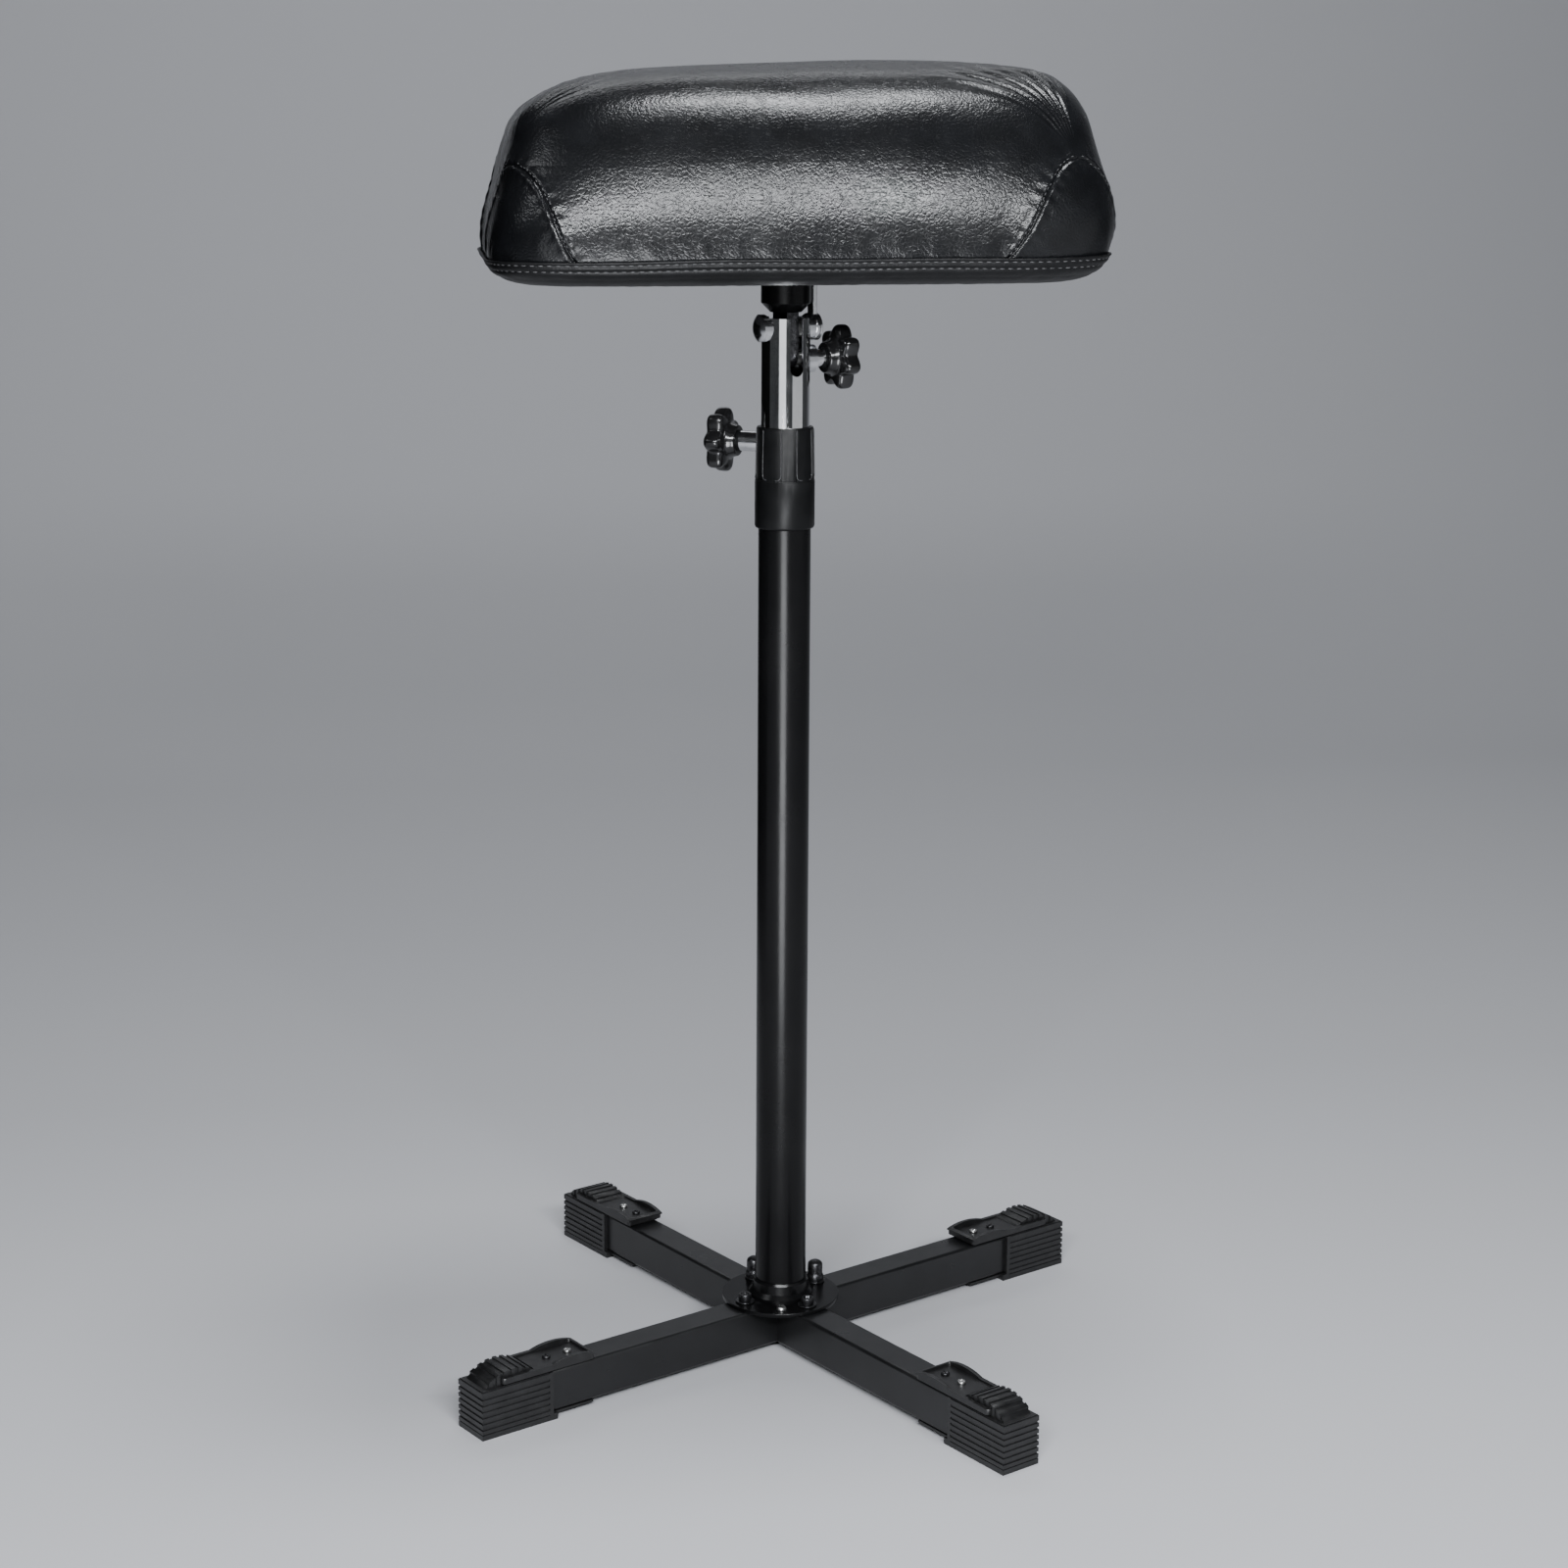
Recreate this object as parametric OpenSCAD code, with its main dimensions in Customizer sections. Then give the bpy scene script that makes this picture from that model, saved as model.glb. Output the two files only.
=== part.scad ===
// Arm rest stand for a tattoo chair: a padded rest on a telescopic pole that stands on a cross base.
// The origin lies on the floor under the pole, +Z is up and the pad's long side runs along X.

/* [Base] */
// Width of a leg tube
leg_w = 22; // [18:0.5:24]
// Height of a leg tube
leg_h = 26; // [22:0.5:30]
// Wall of a leg tube
leg_wall = 1.2; // [0.8:0.1:2]
// Outer corner radius of a leg tube
leg_corner = 2; // [1.5:0.1:3]
// Gap between a leg tube and the floor
leg_lift = 4; // [3:0.5:8]
// Angle of the first leg from the pad's long side, in degrees
base_turn = 29.3; // [0:0.1:89]
// Diameter of the flange plate
flange_d = 74; // [70:1:90]
// Thickness of the flange plate
flange_t = 2.5; // [2:0.1:4]
// Radius of the ring on which the flange bolts stand
bolt_ring_r = 28; // [25:0.5:30]
// Diameter of a flange bolt's shank
bolt_d = 6; // [5:0.5:7]
// Diameter of a flange bolt's head
bolt_head_d = 10; // [9:0.5:12]
// Height of the heads on the two front legs
front_head_h = 4.5; // [3:0.5:6]
// Height of the nuts and stud ends on the two back legs
back_head_h = 12; // [8:0.5:14]
// Angle from the first leg to the small rivet at the front of the flange, in degrees
rivet_angle = 234; // [200:1:250]
// Diameter of the small rivet
rivet_d = 7; // [5:0.5:8]
// Height of the small rivet's head
rivet_h = 3; // [2:0.5:4]
// Height of the socket ring round the foot of the pole
socket_h = 11; // [6:0.5:16]
// Wall of the socket ring at its top
socket_wall = 1.4; // [1:0.1:2.5]
// How far the socket ring flares out at its foot
socket_flare = 2.8; // [1:0.1:4]

/* [Feet] */
// Distance from the pole's axis to the tip of a foot
foot_reach = 231; // [190:1:280]
// Length of a foot cap along its leg
foot_len = 50; // [44:1:60]
// Wall of a foot cap beside the leg
foot_wall = 2.6; // [2:0.1:3.5]
// Thickness of a foot cap's closed end
foot_end = 4; // [3:0.5:6]
// Number of ridges round a foot cap
foot_ridges = 8; // [5:1:10]
// Depth of the grooves between the ridges
foot_groove = 0.7; // [0.4:0.1:1.2]
// Height of the ribbed mound on top of a foot cap
mound_h = 8.5; // [5:0.5:12]
// Number of ribs across the mound
mound_ribs = 7; // [4:1:9]
// Length of the tongue that reaches over the leg
tongue_len = 30; // [24:1:40]
// Thickness of the tongue
tongue_t = 2.6; // [2:0.1:4]
// Height of the raised edge round the tongue
tongue_rim = 1; // [0.5:0.1:2]
// How much higher the tongue's side edges arch in their middle
tongue_arch = 2.4; // [0:0.1:4]
// Space between the tongue and the leg
tongue_gap = 1.6; // [1:0.1:3]
// Length of the thicker lip round the cap's open end
lip_len = 2.6; // [1.5:0.1:5]
// How far the lowest ridge reaches in under the lip
skirt_len = 3; // [1:0.5:6]
// Thickness of the flap under the leg
flap_t = 1.5; // [1:0.1:2.5]
// Diameter of a foot screw's head
foot_screw_d = 5.4; // [4:0.1:6]
// Diameter of a foot screw's shank
foot_shank_d = 2.9; // [2:0.1:3.5]

/* [Pole] */
// Outer diameter of the pole
pole_d = 32; // [30:0.5:38]
// Wall of the pole
pole_wall = 0.9; // [0.6:0.1:1]
// Height of the pole's top end above the floor
pole_top = 584.2; // [450:0.1:700]
// Length of the plastic collar
collar_h = 61.7; // [50:0.1:80]
// Length of the collar's smooth lower part
sleeve_h = 29.2; // [20:0.1:36]
// Wall of the collar's smooth lower part
sleeve_wall = 2.2; // [1.8:0.1:3]
// Wall of the collar's panels at their top
panel_wall = 1.35; // [1.2:0.05:1.8]
// Depth of the recesses between the panels
recess_depth = 0.7; // [0.3:0.05:0.9]
// Number of recesses round the collar
recesses = 5; // [3:1:8]
// Width of a recess, in degrees
recess_angle = 31; // [15:1:40]
// Thickness of the collar's lip over the pole's end
lip_h = 2.2; // [1.5:0.1:4]

/* [Knobs] */
// Diameter of a star knob over its lobes
knob_d = 40; // [34:1:46]
// Number of lobes of a star knob
knob_lobes = 7; // [5:1:8]
// Diameter of a lobe
lobe_d = 11.4; // [9:0.1:12]
// Thickness of the star
star_t = 11; // [8:0.5:14]
// Length of the knob's hub
hub_h = 6; // [4:0.5:9]
// Diameter of the hub where it meets the washer
hub_d = 19; // [16:0.5:22]
// Diameter of a clamping screw
screw_d = 8; // [6:0.5:8]
// Thickness of the loose washer under a knob
washer_t = 1.5; // [1:0.1:2.5]
// Diameter of the loose washer
washer_d = 13; // [12:0.5:16]
// Height of the height knob's axis above the floor
height_knob_z = 576.5; // [440:0.1:690]
// Direction of the height knob, in degrees from +X
height_knob_turn = 152; // [0:1:359]
// Diameter of the height knob's threaded boss
height_boss_d = 12.4; // [11:0.1:14]
// Distance from the pole's axis to the end of that boss
height_boss_end = 28; // [23:0.5:34]

/* [Mast] */
// Outer diameter of the sliding mast
mast_d = 29.8; // [27:0.1:30.8]
// Wall of the mast
mast_wall = 1; // [0.8:0.1:1.5]
// Height of the mast's rim above the floor, with the rest at its stored height
mast_top = 652; // [620:0.5:760]
// Length of the mast
mast_len = 450; // [300:1:520]
// Height of the glide bush's ring under the mast
glide_ring_h = 6; // [4:0.5:12]
// Height of the glide bush's spigot inside the mast
spigot_h = 18; // [10:1:30]
// Wall of the glide bush's spigot
spigot_wall = 3; // [2:0.5:5]
// Width of the slot in which the tongue swings
slot_w = 8.6; // [7:0.1:10]
// Depth of the slot below the mast's rim
slot_depth = 34.5; // [30:0.5:45]

/* [Tilt joint] */
// Direction of the tilt bolt, in degrees from the pad's long side
joint_turn = 20; // [-30:1:30]
// Depth of the tilt bolt below the mast's rim
pivot_drop = 6; // [5:0.1:9]
// Diameter of the tilt bolt
pivot_d = 8; // [6:0.5:9]
// Diameter of the tilt bolt's domed heads and their seats
ear_d = 16.6; // [14:0.1:18]
// Height of a seat out from the side of the mast
seat_h = 1.8; // [1:0.1:4]
// Thickness of a domed head at its edge
ear_edge = 1.2; // [0.8:0.1:2]
// Height of the dome on a head
ear_dome = 3; // [1.5:0.1:5]
// Side of the tilt joint's steel tongue along the bolt
blade_t = 8; // [6:0.1:9]
// Width of the steel tongue across the bolt
blade_w = 18; // [14:0.5:20]
// How far the tilt clamp sits below the tilt bolt
clamp_drop = 19; // [18:0.1:21]
// Diameter of the tilt clamp's seat on the mast
clamp_seat_d = 17; // [14:0.1:18]
// Height of the tilt clamp's seat out from the side of the mast
clamp_seat_h = 3.4; // [2:0.1:6]
// Diameter of the tilt clamp's threaded boss
clamp_boss_d = 10.4; // [10:0.1:13]
// Length of the tilt clamp's threaded boss
clamp_boss_h = 6; // [3:0.1:10]
// Thickness of the strap from the tilt bolt to the head plate
strap_t = 2.8; // [2:0.1:4]
// Width of that strap
strap_w = 7.5; // [6:0.1:12]

/* [Head] */
// Diameter of the black post under the pad
post_d = 30; // [26:0.5:30]
// Gap between the mast's rim and the post
post_gap = 3.4; // [3.4:0.1:8]
// Height of the post
post_h = 20.6; // [12:0.1:30]
// Thickness of the steel plate on the post
plate_t = 2.5; // [2:0.1:4]
// Side of the square steel plate
plate_side = 80; // [70:1:100]
// Radius of the plate's corners
plate_corner = 8; // [4:0.5:14]
// Spacing of the plate's four screws along each side
plate_pitch = 60; // [54:1:64]
// Diameter of a plate screw's shank
plate_screw_d = 6; // [4:0.5:6]
// Diameter of a plate screw's head
plate_head_d = 11; // [9:0.5:12]
// Height of a plate screw's head
plate_head_h = 2.4; // [2:0.1:4]

/* [Pad] */
// Length of the pad
pad_len = 364; // [320:1:420]
// Depth of the pad from front to back
pad_depth = 216; // [180:1:260]
// Height of the pad with its crown
pad_h = 125; // [95:1:150]
// Thickness of the leather cover
cover_t = 1.6; // [1:0.1:2.5]
// Space between the head plate and the cover's fold under the board
fold_gap = 13; // [6:0.5:20]
// Thickness of the wooden board
board_t = 12; // [9:0.5:18]
// Height of the hem band round the lower edge
hem_h = 14; // [8:0.5:20]
// Thickness of the hem band
hem_t = 1.2; // [0.8:0.1:2]
// How far the long and short sides pull in between the corners
side_draw = 4; // [0:0.5:8]
// How much lower the crown lies over the pad's ends than over its middle
end_fall = 7; // [0:0.5:12]
// Thickness of the cloth under the board
cloth_t = 0.6; // [0.4:0.1:1.2]

/* [Hidden] */
$fn = 64;

// Extra depth by which every cut runs past the face it leaves
over = 1;
// Radial clearance of a running fit
run_clear = 0.05;
// Radial clearance of a loose hole round a bolt or screw
loose_clear = 0.3;
// Space kept between soft pieces and what they lie on
soft_clear = 0.3;
// Space kept at each turning face
face_clear = 0.1;

// Heights in the base
leg_top = leg_lift + leg_h;
flange_top = leg_top + flange_t;
foot_w = leg_w + 2 * (foot_wall + run_clear);
leg_reach = foot_reach - foot_end - run_clear;
foot_inner = foot_reach - foot_len;

// Fastenings of the flange: press-in nuts under the legs' top wall, and the rivet's place
nut_h = 5;
nut_wall = 1.5;
bolt_tail = 1;
bolt_below = leg_wall + nut_h + bolt_tail;
rivet_turn = base_turn + rivet_angle;
rivet_ring_r = flange_d / 2 - rivet_d;

// The foot caps: their top above the leg, the ridges, the mound and the tongue
foot_rise = 0.55;
foot_top = leg_top + foot_rise;
foot_screw_shares = [0.62, 0.12];
foot_screw_places = [for (share = foot_screw_shares) foot_inner - tongue_len * share];
ridge_pitch = foot_top / foot_ridges;
ridge_share = 0.62;
end_ridge_share = 0.85;
mound_len = foot_len * 0.82;
mound_w = foot_w - 2 * foot_wall;
mound_r = (pow(mound_len / 2, 2) + pow(mound_h, 2)) / (2 * mound_h);
mound_mid = foot_reach - foot_groove - mound_len / 2 - foot_end / 2;
rib_pitch = mound_len / (mound_ribs + 1);
tongue_start = foot_inner - tongue_len;
tongue_bottom = leg_top + tongue_gap;
tongue_top = tongue_bottom + tongue_t;

// The pole, its collar and the height clamp
pole_r = pole_d / 2;
pole_bore_r = pole_r - pole_wall;
collar_bottom = pole_top + face_clear + lip_h - collar_h;
collar_top = collar_bottom + collar_h;
collar_step = collar_bottom + sleeve_h;
collar_bore_r = pole_r + run_clear;
sleeve_r = collar_bore_r + sleeve_wall;
sleeve_step = 0.2;
panel_foot_r = sleeve_r - sleeve_step;
panel_top_r = collar_bore_r + panel_wall;
sleeve_round = sleeve_wall * 0.8;

// The mast and its glide bush
mast_r = mast_d / 2;
mast_bore_r = mast_r - mast_wall;
mast_bottom = mast_top - mast_len;
glide_r = pole_bore_r - run_clear;
spigot_r = mast_bore_r - run_clear;

// The tilt joint, along the bolt's own axis
pivot_z = mast_top - pivot_drop;
clamp_z = pivot_z - clamp_drop;
ear_r = ear_d / 2;
seat_end = mast_r + seat_h;
strap_start = seat_end + face_clear;
strap_end = strap_start + strap_t;
nut_start = strap_end + face_clear;
slot_bottom = mast_top - slot_depth;
blade_end = blade_t / 2;
blade_below = 5;
blade_drop = clamp_drop + blade_below;
bush_wall = 1.8;
clamp_seat_end = mast_r + clamp_seat_h;
clamp_boss_end = clamp_seat_end + clamp_boss_h;

// The head
post_bottom = mast_top + post_gap;
plate_bottom = post_bottom + post_h;
plate_top = plate_bottom + plate_t;
cover_bottom = plate_top - cover_t - face_clear;
board_bottom = plate_top;
board_top = board_bottom + board_t;
cloth_top = cover_bottom - face_clear;
cloth_gap = 1;
post_chamfer = 5.5;

// Star knob proportions
lobe_ring_r = (knob_d - lobe_d) / 2;
star_core_r = lobe_ring_r + lobe_d * 0.12;
hub_top_r = hub_d / 2 + hub_h * 0.4;
star_round = star_t * 0.22;

// The pad's side profile as shares: how high each ring lies, and how far it is drawn in from the widest
// ring as a share of half the pad's depth
pad_profile_shares = [
  [0, 0.195], [0.03, 0.107], [0.075, 0.048], [0.14, 0.014], [0.26, 0], [0.4, 0.019], [0.55, 0.065],
  [0.68, 0.13], [0.79, 0.204], [0.875, 0.296], [0.94, 0.426], [0.975, 0.579], [1, 0.833]
];
pad_half = pad_depth / 2;
foot_draw = pad_half * pad_profile_shares[0][1];
// Crown left above the last ring's middle, as a share of the pad's height
crown_share = 0.012;
// How square the outline is low down and at the top: 2 is an ellipse and larger numbers are squarer
low_square = 5.2;
top_square = 2.9;
ring_points = 48;
// Width of the cover's fold under the board
fold_w = pad_half - foot_draw - plate_side / 2 - fold_gap;

// Placing helpers: one leg's frame, and the frame of a screw that points out from the pole
module at_leg(number) {
  rotate([0, 0, base_turn + 90 * number]) children();
}

module outward(turn, z) {
  translate([0, 0, z]) rotate([0, 0, turn]) rotate([0, 90, 0]) children();
}

module tube(outer_r, inner_r, height) {
  difference() {
    cylinder(r = outer_r, h = height);
    translate([0, 0, -over]) cylinder(r = inner_r, h = height + 2 * over);
  }
}

module rounded_slab(length, width, height, corner) {
  linear_extrude(height) {
    square([length - 2 * corner, width], center = true);
    square([length, width - 2 * corner], center = true);
    for (x = [-1, 1], y = [-1, 1])
      translate([x * (length / 2 - corner), y * (width / 2 - corner)]) circle(r = corner);
  }
}

// The cross base: one tube runs through and two shorter ones meet its sides
module leg_tube(start, end) {
  translate([start, 0, leg_lift + leg_h / 2]) rotate([0, 90, 0]) difference() {
    rounded_slab(leg_h, leg_w, end - start, leg_corner);
    translate([0, 0, -over])
      rounded_slab(leg_h - 2 * leg_wall, leg_w - 2 * leg_wall, end - start + 2 * over,
        leg_corner - leg_wall);
  }
}

module leg_top_holes() {
  translate([bolt_ring_r, 0, leg_top - leg_wall - over])
    cylinder(r = bolt_d / 2 + loose_clear, h = leg_wall + 2 * over);
  for (place = foot_screw_places)
    translate([place, 0, leg_top - leg_wall - over])
      cylinder(r = foot_shank_d / 2 + run_clear, h = leg_wall + 2 * over);
}

module main_leg() {
  color("#1b1c1e") difference() {
    at_leg(0) leg_tube(-leg_reach, leg_reach);
    for (side = [0, 2]) at_leg(side) leg_top_holes();
  }
}

module side_leg(number) {
  color("#1b1c1e") at_leg(number) difference() {
    leg_tube(leg_w / 2, leg_reach);
    leg_top_holes();
  }
}

module flange_plate() {
  color("#141517") translate([0, 0, leg_top]) difference() {
    cylinder(d = flange_d, h = flange_t, $fn = 96);
    for (number = [0:3]) rotate([0, 0, base_turn + 90 * number]) translate([bolt_ring_r, 0, -over])
      cylinder(r = bolt_d / 2 + loose_clear, h = flange_t + 2 * over);
    rotate([0, 0, rivet_turn]) translate([rivet_ring_r, 0, -over])
      cylinder(d = rivet_d / 2 + run_clear, h = flange_t + 2 * over);
  }
}

module flange_bolt(head_h) {
  translate([0, 0, flange_top]) {
    cylinder(d = bolt_head_d, h = head_h * 0.75);
    cylinder(d = bolt_head_d * 0.7, h = head_h);
  }
  translate([0, 0, leg_top - bolt_below]) cylinder(d = bolt_d, h = bolt_below + flange_t + run_clear);
}

module flange_bolts() {
  color("#2a2b2e") {
    for (number = [0:3]) at_leg(number) translate([bolt_ring_r, 0, 0])
      flange_bolt(number < 2 ? back_head_h : front_head_h);
    rotate([0, 0, rivet_turn]) translate([rivet_ring_r, 0, leg_top]) {
      translate([0, 0, -rivet_h / 2]) cylinder(d = rivet_d / 2, h = flange_t + rivet_h);
      translate([0, 0, flange_t]) cylinder(d = rivet_d, h = rivet_h);
      translate([0, 0, -rivet_h / 2]) cylinder(d = rivet_d, h = rivet_h / 2);
    }
  }
}

// Press-in nuts under the top wall of each leg
module leg_nuts() {
  color("#8a8d92") for (number = [0:3]) at_leg(number)
    translate([bolt_ring_r, 0, leg_top - leg_wall - nut_h])
      tube(bolt_d / 2 + nut_wall, bolt_d / 2 + run_clear, nut_h);
}

module pole_socket() {
  color("#141517") translate([0, 0, flange_top]) rotate_extrude() polygon([
    [pole_r + run_clear, 0],
    [pole_r + run_clear + socket_wall + socket_flare, 0],
    [pole_r + run_clear + socket_wall + socket_flare, socket_wall],
    [pole_r + run_clear + socket_wall + socket_flare / 4, socket_wall + socket_flare],
    [pole_r + run_clear + socket_wall, socket_h - socket_wall],
    [pole_r + run_clear + socket_wall / 2, socket_h],
    [pole_r + run_clear, socket_h]
  ]);
}

// Foot caps. Each is drawn on the +X side and turned to its leg
module foot_body() {
  translate([foot_inner, -foot_w / 2 + foot_groove, 0])
    cube([foot_len - foot_groove, foot_w - 2 * foot_groove, foot_top]);
  for (ridge = [0:foot_ridges - 1]) {
    outer_ridge = ridge == 0 || ridge == foot_ridges - 1;
    translate([foot_inner, -foot_w / 2, ridge * ridge_pitch])
      cube([foot_len, foot_w, ridge_pitch * (outer_ridge ? end_ridge_share : ridge_share)]);
  }
  // The lip round the open end, and the lowest ridge's reach beyond it
  translate([foot_inner, -foot_w / 2, 0]) cube([lip_len, foot_w, foot_top]);
  translate([foot_inner - skirt_len, -foot_w / 2, 0])
    cube([skirt_len + over, foot_w, leg_lift - run_clear]);
}

module mound_arch(radius, width) {
  translate([mound_mid, width / 2, foot_top + mound_h - mound_r]) rotate([90, 0, 0])
    cylinder(r = radius, h = width, $fn = 96);
}

module mound_rib(rib) {
  rib_mid = mound_mid + (rib + 1 - (mound_ribs + 1) / 2) * rib_pitch;
  translate([rib_mid - rib_pitch / 4, -mound_w / 2, foot_top - over])
    cube([rib_pitch / 2, mound_w, mound_h + 2 * over]);
}

module foot_mound() {
  intersection() {
    union() {
      mound_arch(mound_r - foot_groove, mound_w - 2 * foot_groove);
      intersection() {
        mound_arch(mound_r, mound_w);
        for (rib = [0:mound_ribs - 1]) mound_rib(rib);
      }
    }
    translate([foot_inner, -foot_w / 2, foot_top - foot_groove])
      cube([foot_len - foot_groove, foot_w, mound_h + 2 * foot_groove]);
  }
}

// The tongue is a tray whose side edges rise in an arch and whose end stands on the leg
module foot_tongue() {
  tongue_mid = foot_inner + (mound_len - tongue_len) / 4;
  tongue_total = 2 * (tongue_mid - tongue_start);
  arch_mid = foot_inner - tongue_len / 2;
  arch_r = (pow(tongue_len / 2, 2) + pow(tongue_arch, 2)) / (2 * tongue_arch);
  edge_top = tongue_top + tongue_rim + tongue_arch;
  difference() {
    union() {
      translate([tongue_mid, 0, tongue_bottom])
        rounded_slab(tongue_total, foot_w, tongue_t + tongue_rim, foot_wall);
      intersection() {
        translate([arch_mid, foot_w / 2, edge_top - arch_r]) rotate([90, 0, 0])
          cylinder(r = arch_r, h = foot_w, $fn = 96);
        translate([tongue_start, -foot_w / 2, tongue_top]) cube([tongue_len, foot_w, edge_top - tongue_top]);
      }
    }
    translate([tongue_mid, 0, tongue_top])
      rounded_slab(tongue_total - 2 * foot_wall, foot_w - 2 * foot_wall, edge_top - tongue_top + over,
        foot_wall / 2);
  }
  translate([tongue_start + foot_wall, -foot_w / 2 + foot_wall, leg_top + run_clear])
    cube([foot_wall, foot_w - 2 * foot_wall, tongue_gap + tongue_t / 2]);
}

module foot_cap(number) {
  color("#17181a") at_leg(number) difference() {
    union() {
      foot_body();
      foot_mound();
      foot_tongue();
      translate([tongue_start, -leg_w / 2, leg_lift - flap_t - run_clear])
        cube([tongue_len + over, leg_w, flap_t]);
    }
    translate([foot_inner - over, -leg_w / 2 - run_clear, leg_lift - run_clear])
      cube([foot_len - foot_end + over, leg_w + 2 * run_clear, leg_h + 2 * run_clear]);
    for (place = foot_screw_places) translate([place, 0, leg_top])
      cylinder(r = foot_shank_d / 2 + run_clear, h = tongue_gap + tongue_t + tongue_rim + over);
  }
}

module foot_screws() {
  color("#9a9da2") for (number = [0:3], place = foot_screw_places) at_leg(number) translate([place, 0, 0]) {
    translate([0, 0, leg_top - leg_wall - tongue_gap])
      cylinder(d = foot_shank_d, h = leg_wall + 2 * tongue_gap + tongue_t);
    translate([0, 0, tongue_top]) intersection() {
      cylinder(d = foot_screw_d, h = tongue_rim + flap_t);
      translate([0, 0, tongue_rim * 1.6 - foot_screw_d]) sphere(r = foot_screw_d);
    }
  }
}

// The pole and the collar that guides the mast
module outer_pole() {
  color("#101113") difference() {
    translate([0, 0, flange_top]) tube(pole_r, pole_bore_r, pole_top - flange_top);
    outward(height_knob_turn, height_knob_z) cylinder(r = screw_d / 2 + loose_clear, h = pole_d);
  }
}

module collar_profile() {
  polygon([
    [collar_bore_r, 0],
    [sleeve_r - sleeve_round, 0],
    [sleeve_r - sleeve_round * 0.3, sleeve_round * 0.3],
    [sleeve_r, sleeve_round],
    [sleeve_r, sleeve_h],
    [panel_foot_r, sleeve_h + run_clear],
    [panel_top_r, collar_h - lip_h / 2],
    [panel_top_r - lip_h / 4, collar_h],
    [mast_r + run_clear, collar_h],
    [mast_r + run_clear, collar_h - lip_h],
    [collar_bore_r, collar_h - lip_h]
  ]);
}

module collar() {
  recess_r = panel_top_r - recess_depth;
  color("#1d1e21") translate([0, 0, collar_bottom]) difference() {
    rotate_extrude($fn = 96) collar_profile();
    for (number = [0:recesses - 1]) rotate([0, 0, -90 + 360 / recesses * number - recess_angle / 2])
      translate([0, 0, sleeve_h + recess_depth]) rotate_extrude(angle = recess_angle, $fn = 96)
        translate([recess_r, 0]) square([sleeve_wall * 2, collar_h]);
    outward(height_knob_turn, height_knob_z - collar_bottom)
      cylinder(r = height_boss_d / 2 + run_clear, h = pole_d);
  }
}

// A threaded boss seated on a round tube, with the screw's way through it
module seated_boss(tube_r, end, diameter, bore_r) {
  difference() {
    cylinder(d = diameter, h = end);
    translate([0, 0, -over]) cylinder(r = bore_r, h = end + 2 * over);
    rotate([0, -90, 0]) translate([0, 0, -pole_d])
      cylinder(r = tube_r + run_clear, h = 2 * pole_d, $fn = 96);
  }
}

module height_boss() {
  color("#c9ccd1") outward(height_knob_turn, height_knob_z)
    seated_boss(pole_r, height_boss_end, height_boss_d, screw_d / 2 + run_clear);
}

// Knobs: a loose washer, a star handle and its screw, drawn outward from the end of the boss
module knob_washer(boss_end) {
  translate([0, 0, boss_end + face_clear]) tube(washer_d / 2, screw_d / 2 + run_clear, washer_t);
}

module star_outline() {
  circle(r = star_core_r);
  for (lobe = [0:knob_lobes - 1])
    rotate(lobe * 360 / knob_lobes) translate([lobe_ring_r, 0]) circle(d = lobe_d);
}

module star_knob(boss_end) {
  hub_start = boss_end + washer_t + 2 * face_clear;
  star_start = hub_start + hub_h;
  knob_r = knob_d / 2;
  translate([0, 0, hub_start]) difference() {
    union() {
      cylinder(r1 = hub_d / 2, r2 = hub_top_r, h = hub_h);
      translate([0, 0, hub_h]) intersection() {
        linear_extrude(star_t) star_outline();
        rotate_extrude() polygon([
          [0, 0],
          [knob_r - star_round, 0],
          [knob_r - star_round * 0.3, star_round * 0.3],
          [knob_r, star_round],
          [knob_r, star_t - star_round],
          [knob_r - star_round * 0.3, star_t - star_round * 0.5],
          [knob_r - star_round * 1.2, star_t - star_round * 0.15],
          [star_core_r * 0.6, star_t],
          [0, star_t]
        ]);
      }
    }
    translate([0, 0, -over]) cylinder(r = screw_d / 2 + run_clear, h = hub_h + star_t / 2 + over);
  }
}

module knob_screw(tip, boss_end) {
  end = boss_end + washer_t + 2 * face_clear + hub_h + star_t / 2;
  translate([0, 0, tip]) {
    cylinder(r1 = screw_d * 0.4, r2 = screw_d / 2, h = screw_d * 0.1);
    translate([0, 0, screw_d * 0.1]) cylinder(d = screw_d, h = end - tip - screw_d * 0.1);
  }
}

module height_washer() {
  color("#e4e5e7") outward(height_knob_turn, height_knob_z) knob_washer(height_boss_end);
}

module height_knob() {
  color("#0d0d0e") outward(height_knob_turn, height_knob_z) star_knob(height_boss_end);
}

module height_screw() {
  color("#a7aaae") outward(height_knob_turn, height_knob_z) knob_screw(mast_r + face_clear, height_boss_end);
}

// The mast slides and turns in the pole on a plastic bush plugged into its lower end
module glide_bush() {
  color("#d8d9d6") translate([0, 0, mast_bottom - glide_ring_h - face_clear]) difference() {
    union() {
      cylinder(r = glide_r, h = glide_ring_h);
      cylinder(r = spigot_r, h = glide_ring_h + spigot_h);
    }
    translate([0, 0, -over]) cylinder(r = spigot_r - spigot_wall, h = glide_ring_h + spigot_h + 2 * over);
  }
}

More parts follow.
